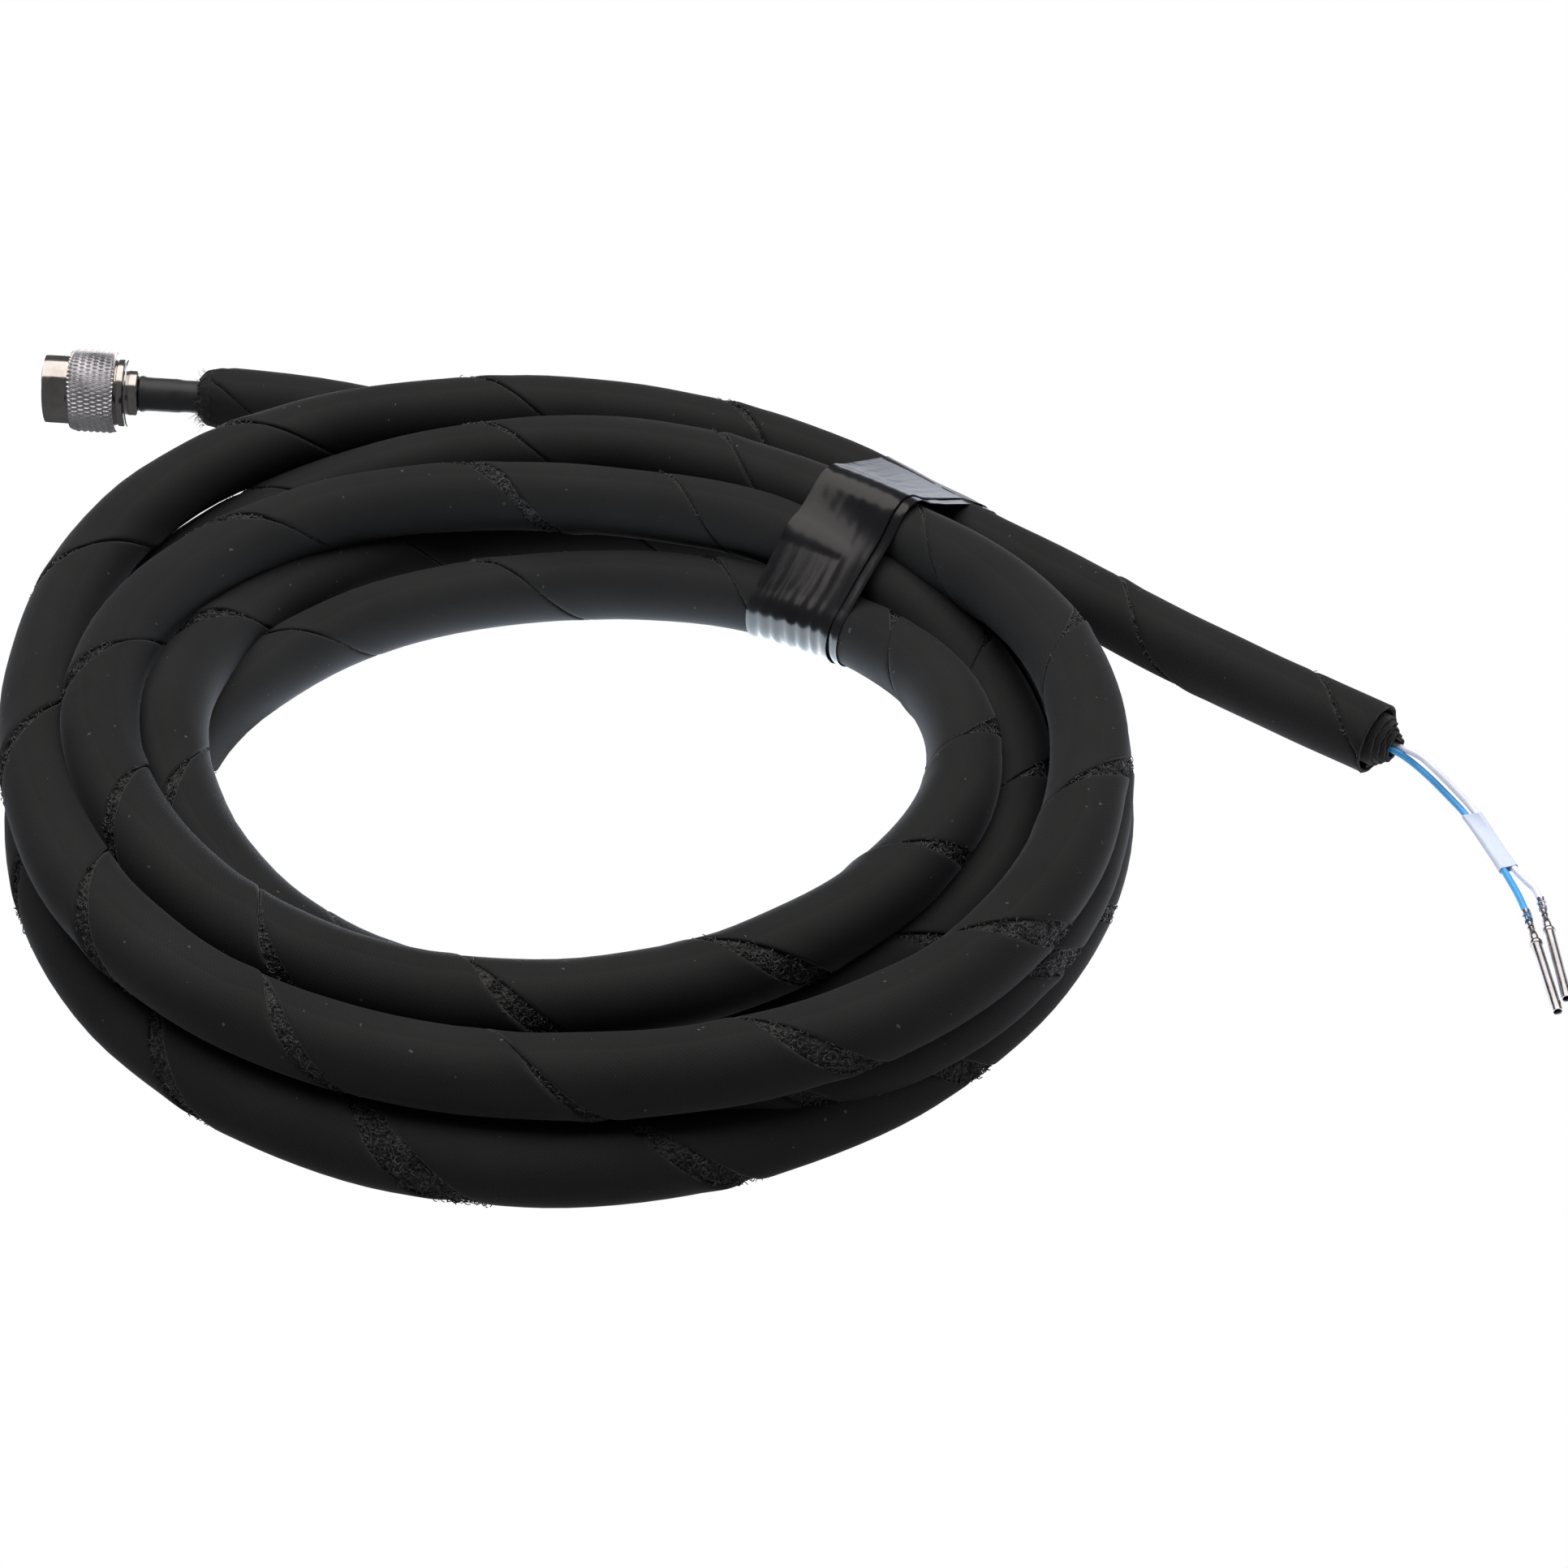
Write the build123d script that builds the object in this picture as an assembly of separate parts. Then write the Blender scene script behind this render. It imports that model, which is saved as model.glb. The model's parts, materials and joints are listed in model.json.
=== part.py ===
from build123d import *
import math
import os

# Wrapped two-core signal cable, lying in a taped coil, with a threaded coaxial plug on one end
# and two crimped socket contacts on the other. Millimetres, +Z up, floor at z = 0, origin on the
# floor at the middle of the coil.

# Cable build-up: radii from the cores outwards.
WRAP_R = 5.65
UNDER_WRAP_R = 4.1
JACKET_R = 2.475
BRAID_R = 1.9
BRAID_BORE_R = 1.6
CORE_R = 0.525
CONDUCTOR_R = 0.3
CORE_OFFSET = 0.56

# Coil: five turns lying on each other, given as the outer shape that they fill.
COIL_OUTER_R = 88.0
COIL_CENTRE_Y = 3.0
COIL_HOLE_X = 53.5
COIL_HOLE_Y = 45.0
COIL_HOLE_CENTRE = (1.0, -3.0)
COIL_HEIGHT = 23.0
COIL_EDGE_R = 9.0

# Tape: two turns round the bundle, one a little along from the other.
TAPE_ANGLE = 48.5
TAPE_WIDTH = 15.5
TAPE_LAYER = 0.45
TAPE_STEP = 3.0
TAPE_TILT = 4.0

# Plug: everything is turned about one axis, with local z = 0 at the nut's front face, +z outwards.
PLUG_FRONT = (-97.2, 102.0, 8.65)
PLUG_YAW = -1.85
PLUG_PITCH = 5.2
NUT_BAND_R = 6.1
NUT_KNURL_R = 7.3
NUT_REAR_R = 6.0
NUT_THREAD_R = 5.1
NUT_CAVITY_R = 5.6
NUT_BORE_R = 3.95
NUT_LENGTH = 14.1
NUT_BAND_END = 4.5
NUT_KNURL_END = 12.6
NUT_LIP = 2.6
NUT_SLIDE = 0.4
BARREL_R = 3.9
FLANGE_R = 5.2
OUTER_CONTACT_R = 4.05
DIELECTRIC_R = 3.3
DIELECTRIC_BORE_R = 2.42
DIELECTRIC_END = 11.4
PIN_R = 0.67
PIN_CUP_R = 0.9
PIN_END = 14.2
SPIGOT_BORE_R = 1.25
COLLAR_R = 4.1
COLLAR_FRONT = 14.8
COLLAR_REAR = 16.3
SPIGOT_END = 23.7
FERRULE_R = 2.6
SLEEVE_R = 3.0
SLEEVE_LENGTH = 13.0
RING_SECTION = 0.7
RING_FRONT = 12.5

# Wires and their contacts.
LABEL_WALL = 0.2
CONTACT_Z = 1.15
HOOD_R = 0.78
HOOD_BORE_R = 0.64
SOCKET_BORE_R = 0.5
HOOD_LENGTH = 14.2
HOOD_BEAD_R = 0.97
CRIMP_LENGTH = 6.4

# Plug axis: a distance behind the front face gives a place on it.
YAW = math.radians(PLUG_YAW)
PITCH = math.radians(PLUG_PITCH)
PLUG_OUT = Vector(
    -math.cos(YAW) * math.cos(PITCH), math.sin(YAW) * math.cos(PITCH), math.sin(PITCH)
)
PLUG_PLANE = Plane(origin=PLUG_FRONT, x_dir=(0, 0, 1), z_dir=PLUG_OUT)


def behind_front(distance):
    return Vector(*PLUG_FRONT) - PLUG_OUT * distance


# Routes, in order. The lead runs from inside the coil to the plug.
LEAD_CORNER = 34.0
LEAD_WRAP_END = 29.2
LEAD_ROUTE = [
    Vector(-1.0, 82.0, 5.65),
    Vector(-15.5, 88.0, 5.65),
    Vector(-31.0, 93.6, 5.65),
    Vector(-46.0, 99.0, 5.65),
    behind_front(LEAD_CORNER),
]

# The tail runs from inside the coil to the open end of the wrap.
TAIL_ROUTE = [
    Vector(46.0, 71.0, 10.5),
    Vector(64.5, 59.0, 6.2),
    Vector(78.0, 48.0, 5.65),
    Vector(90.0, 36.3, 5.65),
    Vector(102.0, 25.0, 5.65),
    Vector(113.6, 15.7, 5.65),
    Vector(124.3, 6.9, 5.65),
]
TAIL_END = TAIL_ROUTE[-1]
TAIL_OUT = (TAIL_ROUTE[-1] - TAIL_ROUTE[-2]).normalized()
TAIL_SIDE = Vector(-TAIL_OUT.Y, TAIL_OUT.X, 0)
TAIL_CORE_LENGTH = 4.3


def in_tail(along, side):
    return TAIL_END + TAIL_OUT * along + TAIL_SIDE * side


# Each contact lies from its crimp to its open tip.
BLUE_CONTACT = (Vector(141.2, -27.2, CONTACT_Z), Vector(141.6, -47.9, CONTACT_Z))
WHITE_CONTACT = (Vector(143.85, -24.6, CONTACT_Z), Vector(143.4, -45.6, CONTACT_Z))


def on_contact_axis(contact, along):
    back, tip = contact
    return back + (tip - back).normalized() * along


# Each wire goes from inside the tail, through the label, to the back of its contact.
BLUE_ROUTE = [
    in_tail(-1.0, -CORE_OFFSET),
    in_tail(TAIL_CORE_LENGTH, -CORE_OFFSET),
    Vector(131.4, 1.7, 4.2),
    Vector(134.3, -1.5, 2.5),
    Vector(136.4, -5.9, 1.05),
    Vector(138.3, -12.4, 0.85),
    Vector(139.8, -19.0, 0.85),
    on_contact_axis(BLUE_CONTACT, -1.8),
]
WHITE_ROUTE = [
    in_tail(-1.0, CORE_OFFSET),
    in_tail(TAIL_CORE_LENGTH, CORE_OFFSET),
    Vector(131.1, 3.3, 5.5),
    Vector(134.2, 0.0, 4.0),
    Vector(137.6, -5.6, 1.3),
    Vector(139.45, -12.1, 0.85),
    Vector(140.95, -18.6, 0.85),
    on_contact_axis(WHITE_CONTACT, -1.8),
]


def corner_radii(points):
    """The largest arc that each corner's two runs allow."""
    radii = []
    for before, corner, after in zip(points, points[1:], points[2:]):
        arriving = corner - before
        leaving = after - corner
        half_turn = math.radians(arriving.get_angle(leaving)) / 2
        radii.append(0.45 * min(arriving.length, leaving.length) / math.tan(half_turn))
    return radii


def route_path(points, radii=None):
    return FilletPolyline(*points, radius=radii or corner_radii(points))


def tube(points, outer_r, inner_r=0.0, side=0.0, radii=None):
    """A round tube or rod along a route, its section moved sideways by side."""
    path = route_path(points, radii)
    start = Plane(origin=path @ 0, x_dir=(0, 0, 1), z_dir=path % 0)
    section = Circle(outer_r)
    if inner_r:
        section -= Circle(inner_r)
    return sweep(start * Pos(0, side) * section, path=path)


def report_cord(name, points, diameter, radii=None):
    path = route_path(points, radii)
    corners = ", ".join(f"{r:.0f}" for r in radii or corner_radii(points))
    print(f"{name}: length {path.length:.1f} mm, corner radii {corners} mm, diameter {diameter}")


def turned(profile):
    """A solid turned about local z from (radius, z) corners."""
    outline = make_face(Polyline(*[(r, 0, z) for r, z in profile], close=True).edges())
    return revolve(outline, Axis.Z)


def at_plug(solid):
    return PLUG_PLANE.location * solid


def disc(front, back, outer_r, inner_r):
    """A plain turned ring between two distances behind the nut's front face."""
    return turned([(inner_r, -front), (outer_r, -front), (outer_r, -back), (inner_r, -back)])


# Coil and tape.
def coil_shape(grow, bottom):
    """The coil's outer shape, grown all round by grow, standing on z = bottom."""
    height = COIL_HEIGHT + grow - bottom
    outside = Pos(0, COIL_CENTRE_Y, bottom) * extrude(Circle(COIL_OUTER_R + grow), height)
    outside = fillet(outside.edges().filter_by(GeomType.CIRCLE).sort_by(Axis.Z)[-1], COIL_EDGE_R)
    hole = Pos(*COIL_HOLE_CENTRE, bottom) * extrude(
        Ellipse(COIL_HOLE_X - grow, COIL_HOLE_Y - grow), height
    )
    return outside - hole


def tape_slab(width, shift, tilt):
    """A slab across one side of the coil, as wide as the tape."""
    reach = 60.0
    slab = Box(reach, width, 4 * COIL_HEIGHT)
    middle = (COIL_OUTER_R + COIL_HOLE_Y) / 2
    return Rot(0, 0, TAPE_ANGLE) * Pos(middle, shift, 0) * Rot(0, 0, tilt) * slab


def make_coil_and_tape():
    inner_slab = tape_slab(TAPE_WIDTH, 0, 0)
    outer_slab = tape_slab(TAPE_WIDTH, -TAPE_STEP, TAPE_TILT)
    both = inner_slab + outer_slab
    core = coil_shape(0, 0)
    raised = coil_shape(0, 2 * TAPE_LAYER)
    first = coil_shape(TAPE_LAYER, TAPE_LAYER)
    second = coil_shape(2 * TAPE_LAYER, 0)
    coil = (core - both) + (raised & both)
    inner_tape = (first & inner_slab) - raised
    outer_tape = (second & outer_slab) - first
    return coil, inner_tape, outer_tape


# Plug.
def make_coupling_nut():
    lip = NUT_LENGTH - NUT_LIP
    groove_r = NUT_BORE_R + 0.55
    ring_back = RING_FRONT + RING_SECTION
    return turned([
        (NUT_THREAD_R + 0.6, 0), (NUT_BAND_R - 0.3, 0), (NUT_BAND_R, -0.3),
        (NUT_BAND_R, -NUT_BAND_END), (NUT_KNURL_R - 0.4, -NUT_BAND_END),
        (NUT_KNURL_R, -NUT_BAND_END - 0.4), (NUT_KNURL_R, 0.4 - NUT_KNURL_END),
        (NUT_KNURL_R - 0.4, -NUT_KNURL_END), (NUT_REAR_R, -NUT_KNURL_END),
        (NUT_REAR_R, 0.4 - NUT_LENGTH), (NUT_REAR_R - 0.4, -NUT_LENGTH),
        (NUT_BORE_R, -NUT_LENGTH), (NUT_BORE_R, -ring_back - 0.05),
        (groove_r, -ring_back - 0.05), (groove_r, 0.05 - RING_FRONT),
        (NUT_BORE_R, 0.05 - RING_FRONT), (NUT_BORE_R, -lip), (NUT_CAVITY_R, -lip),
        (NUT_CAVITY_R, -6.4), (NUT_THREAD_R, -6.0), (NUT_THREAD_R, -0.6),
    ])


def make_retaining_ring():
    ring = disc(RING_FRONT, RING_FRONT + RING_SECTION, BARREL_R + 0.5, BARREL_R - 0.5)
    split = Pos(BARREL_R, 0, -RING_FRONT) * Box(2.4, 1.0, 4)
    return ring - split


def make_plug_body():
    groove_r = BARREL_R - 0.6
    groove_front = RING_FRONT - NUT_SLIDE - 0.05
    groove_back = RING_FRONT + RING_SECTION + 0.05
    body = turned([
        (DIELECTRIC_R, -1.2), (OUTER_CONTACT_R - 0.25, -1.2), (OUTER_CONTACT_R, -1.6),
        (OUTER_CONTACT_R, -7.6), (FLANGE_R, -7.6), (FLANGE_R, -9.4), (BARREL_R, -9.4),
        (BARREL_R, -groove_front), (groove_r, -groove_front), (groove_r, -groove_back),
        (BARREL_R, -groove_back), (BARREL_R, -COLLAR_FRONT), (COLLAR_R, -COLLAR_FRONT),
        (COLLAR_R, 0.2 - COLLAR_REAR), (COLLAR_R - 0.2, -COLLAR_REAR),
        (BRAID_BORE_R, -COLLAR_REAR), (BRAID_BORE_R, -SPIGOT_END),
        (SPIGOT_BORE_R, -SPIGOT_END), (SPIGOT_BORE_R, -DIELECTRIC_END),
        (DIELECTRIC_R, -DIELECTRIC_END),
    ])
    for angle in (45, 135, 225, 315):
        slot = Rot(0, 0, angle) * Pos(DIELECTRIC_R + 0.4, 0, -3.2) * Box(1.6, 0.5, 4.4)
        body -= slot
    return body


def make_dielectric():
    return turned([
        (DIELECTRIC_BORE_R, -1.6), (DIELECTRIC_R - 0.2, -1.6), (DIELECTRIC_R, -1.8),
        (DIELECTRIC_R, -DIELECTRIC_END), (PIN_R, -DIELECTRIC_END), (PIN_R, -6.9),
        (DIELECTRIC_BORE_R, -6.9),
    ])


def make_center_pin():
    return turned([
        (0, -2.4), (0.25, -2.4), (PIN_R, -3.2), (PIN_R, -DIELECTRIC_END - 0.1),
        (PIN_CUP_R, -DIELECTRIC_END - 0.1), (PIN_CUP_R, -PIN_END), (0.4, -PIN_END),
        (0.4, 2 - PIN_END), (0, 2 - PIN_END),
    ])


def make_spring_washer():
    thickness = 0.25
    rise = 0.2
    back = COLLAR_FRONT
    return turned([
        (BARREL_R + 0.05, -back), (NUT_REAR_R, rise - back),
        (NUT_REAR_R, rise + thickness - back), (BARREL_R + 0.05, thickness - back),
    ])


def make_plug():
    ferrule_front = COLLAR_REAR + 0.6
    parts = {
        "coupling_nut": make_coupling_nut(),
        "retaining_ring": make_retaining_ring(),
        "plug_body": make_plug_body(),
        "gasket": disc(6.7, 7.6, FLANGE_R, OUTER_CONTACT_R),
        "dielectric": make_dielectric(),
        "center_pin": make_center_pin(),
        "spring_washer": make_spring_washer(),
        "crimp_ferrule": disc(ferrule_front, SPIGOT_END + 0.2, FERRULE_R, BRAID_R),
        "heat_shrink_sleeve": disc(
            COLLAR_REAR + 0.1, COLLAR_REAR + SLEEVE_LENGTH, SLEEVE_R, FERRULE_R
        ),
    }
    return {name: at_plug(solid) for name, solid in parts.items()}


# Lead and tail.
def outside(solid, bundle):
    """What stands outside the bundle, in one piece."""
    return (solid - bundle).solids().sort_by(SortBy.VOLUME)[-1]


def lead_to(distance):
    """The lead's route, ending on the plug's axis at a distance behind the nut's front."""
    return LEAD_ROUTE + [behind_front(distance)]


def make_lead(bundle):
    radii = corner_radii(lead_to(LEAD_WRAP_END))
    fray_front = LEAD_WRAP_END - 2.4
    sleeve_end = COLLAR_REAR + SLEEVE_LENGTH
    layers = {
        "lead_outer_wrap": tube(lead_to(LEAD_WRAP_END), WRAP_R, UNDER_WRAP_R, radii=radii),
        "lead_under_wrap": tube(lead_to(sleeve_end), UNDER_WRAP_R, JACKET_R, radii=radii),
        "lead_jacket": tube(lead_to(SPIGOT_END + 0.2), JACKET_R, BRAID_R, radii=radii),
        "lead_braid": tube(lead_to(COLLAR_REAR + 0.6), BRAID_R, BRAID_BORE_R, radii=radii),
        "lead_core_white": tube(lead_to(PIN_END), CORE_R, side=CORE_OFFSET, radii=radii),
        "lead_core_blue": tube(lead_to(COLLAR_REAR - 0.2), CORE_R, side=-CORE_OFFSET, radii=radii),
    }
    report_cord("lead", lead_to(LEAD_WRAP_END), 2 * WRAP_R, radii)
    layers = {name: outside(solid, bundle) for name, solid in layers.items()}
    layers["wrap_start"] = at_plug(turned([
        (SLEEVE_R, -fray_front), (SLEEVE_R + 0.5, -fray_front), (WRAP_R - 0.3, -LEAD_WRAP_END),
        (UNDER_WRAP_R, -LEAD_WRAP_END), (SLEEVE_R, -LEAD_WRAP_END),
    ]))
    return layers


def make_tail(bundle):
    report_cord("tail", TAIL_ROUTE, 2 * WRAP_R)
    radii = corner_radii(TAIL_ROUTE)
    layers = {
        "tail_outer_wrap": tube(TAIL_ROUTE, WRAP_R, UNDER_WRAP_R, radii=radii),
        "tail_under_wrap": tube(TAIL_ROUTE, UNDER_WRAP_R, JACKET_R, radii=radii),
        "tail_jacket": tube(TAIL_ROUTE, JACKET_R, BRAID_R, radii=radii),
        "tail_braid": tube(TAIL_ROUTE, BRAID_R, BRAID_BORE_R, radii=radii),
    }
    layers = {name: outside(solid, bundle) for name, solid in layers.items()}
    end = Plane(origin=TAIL_END, x_dir=(0, 0, 1), z_dir=TAIL_OUT)
    layers["wrap_end_core"] = end.location * turned([
        (1.15, 0), (UNDER_WRAP_R, 0), (UNDER_WRAP_R - 0.3, 1.2), (3.0, 1.2), (2.7, 2.8),
        (2.0, 2.8), (1.6, TAIL_CORE_LENGTH), (1.15, TAIL_CORE_LENGTH),
    ])
    return layers


# Wires, label and contacts.
def contact_plane(contact):
    back, tip = contact
    along = tip - back
    return Plane(origin=back, x_dir=(-along.Y, along.X, 0), z_dir=along)


def make_terminal():
    """The stamped crimp: insulation barrel, conductor barrel, window, tines inside the hood."""
    insulation = Circle(CORE_R + 0.2) - Circle(CORE_R)
    conductor = Circle(CONDUCTOR_R + 0.25) - Circle(CONDUCTOR_R)
    box = Circle(HOOD_BORE_R) - Circle(SOCKET_BORE_R)
    opening = Pos(0, -(CORE_R + 0.6), 0) * Box(0.5, 1.6, 2 * CRIMP_LENGTH)
    terminal = extrude(insulation, 2.2) + Pos(0, 0, 2.6) * extrude(conductor, 2.2)
    terminal += Pos(0, 0, 5.0) * extrude(box, HOOD_LENGTH + 0.4)
    terminal -= opening
    rail = Pos(0, CORE_R + 0.06, 2.6) * Box(0.5, 0.12, CRIMP_LENGTH - 1.0)
    return terminal + rail


def make_hood():
    hood = extrude(Circle(HOOD_R) - Circle(HOOD_BORE_R), HOOD_LENGTH)
    bead = extrude(Circle(HOOD_BEAD_R) - Circle(HOOD_BORE_R), 0.7)
    return Pos(0, 0, CRIMP_LENGTH) * (hood + bead)


def make_wire(colour, route, contact):
    plane = contact_plane(contact)
    points = route + [on_contact_axis(contact, 2.2)]
    radii = corner_radii(points)
    report_cord(f"{colour} wire", points, 2 * CORE_R, radii)
    return {
        f"{colour}_insulation": tube(points, CORE_R, CONDUCTOR_R, radii=radii),
        f"{colour}_conductor": tube(
            route + [on_contact_axis(contact, 4.8)], CONDUCTOR_R, radii=radii
        ),
        f"{colour}_terminal": plane.location * make_terminal(),
        f"{colour}_hood": plane.location * make_hood(),
    }


def make_label():
    """A flat sleeve shrunk over both wires side by side."""
    route = [(blue + white) / 2 for blue, white in zip(BLUE_ROUTE, WHITE_ROUTE)][4:7]
    half_width = CORE_OFFSET + CORE_R
    section = SlotOverall(2 * (half_width + LABEL_WALL), 2 * (CORE_R + LABEL_WALL))
    section -= SlotOverall(2 * half_width, 2 * CORE_R)
    path = route_path(route)
    start = Plane(origin=path @ 0, x_dir=(path % 0).cross(Vector(0, 0, 1)), z_dir=path % 0)
    return sweep(start * section, path=path)


def main():
    coil, inner_tape, outer_tape = make_coil_and_tape()
    parts = {"cable_coil": coil, "tape_inner_turn": inner_tape, "tape_outer_turn": outer_tape}
    taped_bundle = coil_shape(0, 0) + inner_tape + outer_tape
    parts.update(make_plug())
    parts.update(make_lead(taped_bundle))
    parts.update(make_tail(taped_bundle))
    parts.update(make_wire("blue", BLUE_ROUTE, BLUE_CONTACT))
    parts.update(make_wire("white", WHITE_ROUTE, WHITE_CONTACT))
    parts["label_sleeve"] = make_label()
    os.makedirs("parts", exist_ok=True)
    for name, solid in parts.items():
        export_step(solid, f"parts/{name}.step")


main()
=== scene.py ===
import json
import math

import bmesh
import bpy
import numpy as np
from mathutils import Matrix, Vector


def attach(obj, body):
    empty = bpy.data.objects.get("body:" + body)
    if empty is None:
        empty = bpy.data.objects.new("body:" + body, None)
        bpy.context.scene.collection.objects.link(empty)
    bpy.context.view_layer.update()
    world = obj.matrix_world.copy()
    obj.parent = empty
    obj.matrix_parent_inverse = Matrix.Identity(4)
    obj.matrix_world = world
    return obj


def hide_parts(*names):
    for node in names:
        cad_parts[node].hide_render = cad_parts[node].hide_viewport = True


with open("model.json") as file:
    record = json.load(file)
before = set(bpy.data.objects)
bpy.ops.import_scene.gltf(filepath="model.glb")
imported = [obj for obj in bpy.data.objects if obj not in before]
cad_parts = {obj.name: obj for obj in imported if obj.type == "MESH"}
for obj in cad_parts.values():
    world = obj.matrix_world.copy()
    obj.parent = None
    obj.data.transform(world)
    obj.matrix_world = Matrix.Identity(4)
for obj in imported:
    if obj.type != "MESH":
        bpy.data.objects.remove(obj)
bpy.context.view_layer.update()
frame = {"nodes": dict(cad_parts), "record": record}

# Wrapped cable in a taped coil. Metres, +Z up, the floor at z = 0.
MM = 0.001
TURN = 2 * math.pi

# Cable and wrap. The wrap ends WRAP_END behind the front of the plug's nut.
CABLE_D = 0.0113
WRAP_R = CABLE_D / 2
UNDER_R = 0.0051
WRAP_PITCH = 0.036
WRAP_END = 0.0292
WIRE_D = 0.00105
WIRE_OFFSET = 0.00056


def record_mount(name):
    return next(m for m in frame["record"]["mounts"] if m["name"] == name)


# The plug's axis and the contacts' axes come from their mounts. A contact's mount is the middle of
# its socket.
PLUG_FRONT = Vector(record_mount("plug_interface")["pos_m"])
PLUG_OUT = Vector(record_mount("plug_interface")["axis"]).normalized()
SOCKET_MIDDLE = 0.0123


def behind_front(distance):
    return PLUG_FRONT - PLUG_OUT * distance


def contact_axis(colour):
    """The back end of a contact and its direction towards the tip."""
    mount = record_mount(f"{colour}_contact_bore")
    along = Vector(mount["axis"]).normalized()
    return Vector(mount["pos_m"]) - along * SOCKET_MIDDLE, along


def add_object(name, data):
    made = bpy.data.objects.new(name, data)
    bpy.context.scene.collection.objects.link(made)
    return made


# Camera: 40 degrees above the floor, looking along +Y.
CAMERA_PLACE = (0.0337, -0.33607, 0.28451)
CAMERA_TILT = math.radians(50)
CAMERA_LENS = 66.35


def make_camera():
    camera = add_object("camera", bpy.data.cameras.new("camera"))
    camera.data.sensor_width = 36
    camera.data.lens = CAMERA_LENS
    camera.data.clip_start = 0.01
    camera.location = CAMERA_PLACE
    camera.rotation_euler = (CAMERA_TILT, 0, 0)
    bpy.context.scene.camera = camera


make_camera()

# Routes. The tail runs from the coil to the open end, the lead from the coil to the plug.
TAIL_ROUTE = [Vector(place) for place in (
    (0.0460, 0.0710, 0.0105), (0.0645, 0.0590, 0.0062), (0.0780, 0.0480, 0.00565),
    (0.0900, 0.0363, 0.00565), (0.1020, 0.0250, 0.00565), (0.1136, 0.0157, 0.00565),
    (0.1243, 0.0069, 0.00565),
)]
TAIL_JOIN = Vector((0.0270, 0.0785, 0.0140))
LEAD_ROUTE = [Vector(place) for place in (
    (-0.0010, 0.0820, 0.00565), (-0.0155, 0.0880, 0.00565), (-0.0310, 0.0936, 0.00565),
    (-0.0460, 0.0990, 0.00565), behind_front(0.0340), behind_front(WRAP_END),
)]

# Each turn of the coil: (radius, height) in millimetres every 45 degrees, from the back,
# counterclockwise.
COIL_TURNS = [
    [(84, 15.5), (88.7, 17.4), (76.7, 17), (74, 17), (74.5, 16), (83, 20), (77, 22), (67.3, 17.5)],
    [(71.5, 16), (81.8, 8), (77, 5.65), (77, 5.65), (80.5, 5.65), (81.5, 5.65), (80, 5.65), (71, 5.65)],
    [(64, 5.65), (61.7, 8), (57.7, 15), (54, 9.5), (53, 5.65), (64, 5.65), (69, 7), (61, 13.5)],
    [(57, 15.5), (66.2, 17), (67.2, 20.5), (62, 17), (61, 16), (60.5, 15), (60.5, 12), (53, 7)],
    [(46.5, 5.65), (50, 5.65), (58.5, 5.65), (64, 5.65), (69.5, 5.65), (83, 13), (79, 14), (79, 8)],
]
COIL_EXIT = (83, 5.65)
POINTS_PER_TURN = 24
STATIONS_PER_TURN = 8

TAIL_END = TAIL_ROUTE[-1]
TAIL_OUT = (TAIL_END - TAIL_ROUTE[-2]).normalized()
TAIL_SIDE = Vector((-TAIL_OUT.y, TAIL_OUT.x, 0))
TAIL_CORE_LENGTH = 0.0034


def in_tail(along, side):
    return TAIL_END + TAIL_OUT * along + TAIL_SIDE * side


def behind_contact(colour, distance):
    back, along = contact_axis(colour)
    return back - along * distance


def wire_route(colour, side, places):
    """A wire's route: out of the jacket, through the places and into its contact's crimps."""
    start = [in_tail(distance, side) for distance in (-0.001, TAIL_CORE_LENGTH)]
    end = [behind_contact(colour, distance) for distance in (0.0018, -0.0022)]
    return start + [Vector(place) for place in places] + end


BLUE_ROUTE = wire_route("blue", -WIRE_OFFSET, [
    (0.1292, 0.0038, 0.0040), (0.1318, 0.0007, 0.0032), (0.1342, -0.0022, 0.0020),
    (0.1365, -0.0057, 0.0012), (0.1384, -0.0120, 0.0009), (0.1401, -0.0190, 0.0009),
])
WHITE_ROUTE = wire_route("white", WIRE_OFFSET, [
    (0.1304, 0.0032, 0.0055), (0.1327, 0.0003, 0.0046), (0.1351, -0.0023, 0.0033),
    (0.1377, -0.0058, 0.0020), (0.13965, -0.0117, 0.0011), (0.1412, -0.0172, 0.0009),
    (0.1427, -0.0205, 0.0009),
])


def between(stations, place):
    """A smooth value between stations, which a Catmull-Rom curve passes through."""
    first = min(int(place), len(stations) - 1)
    share = place - first
    last = len(stations) - 1
    a, b, c, d = (np.array(stations[min(max(first + k, 0), last)]) for k in (-1, 0, 1, 2))
    rise = (c - a) * share
    bend = (2 * a - 5 * b + 4 * c - d) * share**2
    twist = (3 * b - a - 3 * c + d) * share**3
    return b + (rise + bend + twist) / 2


def coil_points():
    """The turns of the coil, as more points of the cable's own route."""
    stations = [place for turn in COIL_TURNS for place in turn] + [COIL_EXIT]
    stretch = 1 / math.cos(math.pi / POINTS_PER_TURN)
    points = []
    for k in range(len(COIL_TURNS) * POINTS_PER_TURN):
        radius, height = between(stations, k * STATIONS_PER_TURN / POINTS_PER_TURN)
        angle = TURN / 4 + TURN * k / POINTS_PER_TURN
        radius *= stretch
        points.append(Vector((radius * math.cos(angle), radius * math.sin(angle), height)) * MM)
    return points


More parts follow.
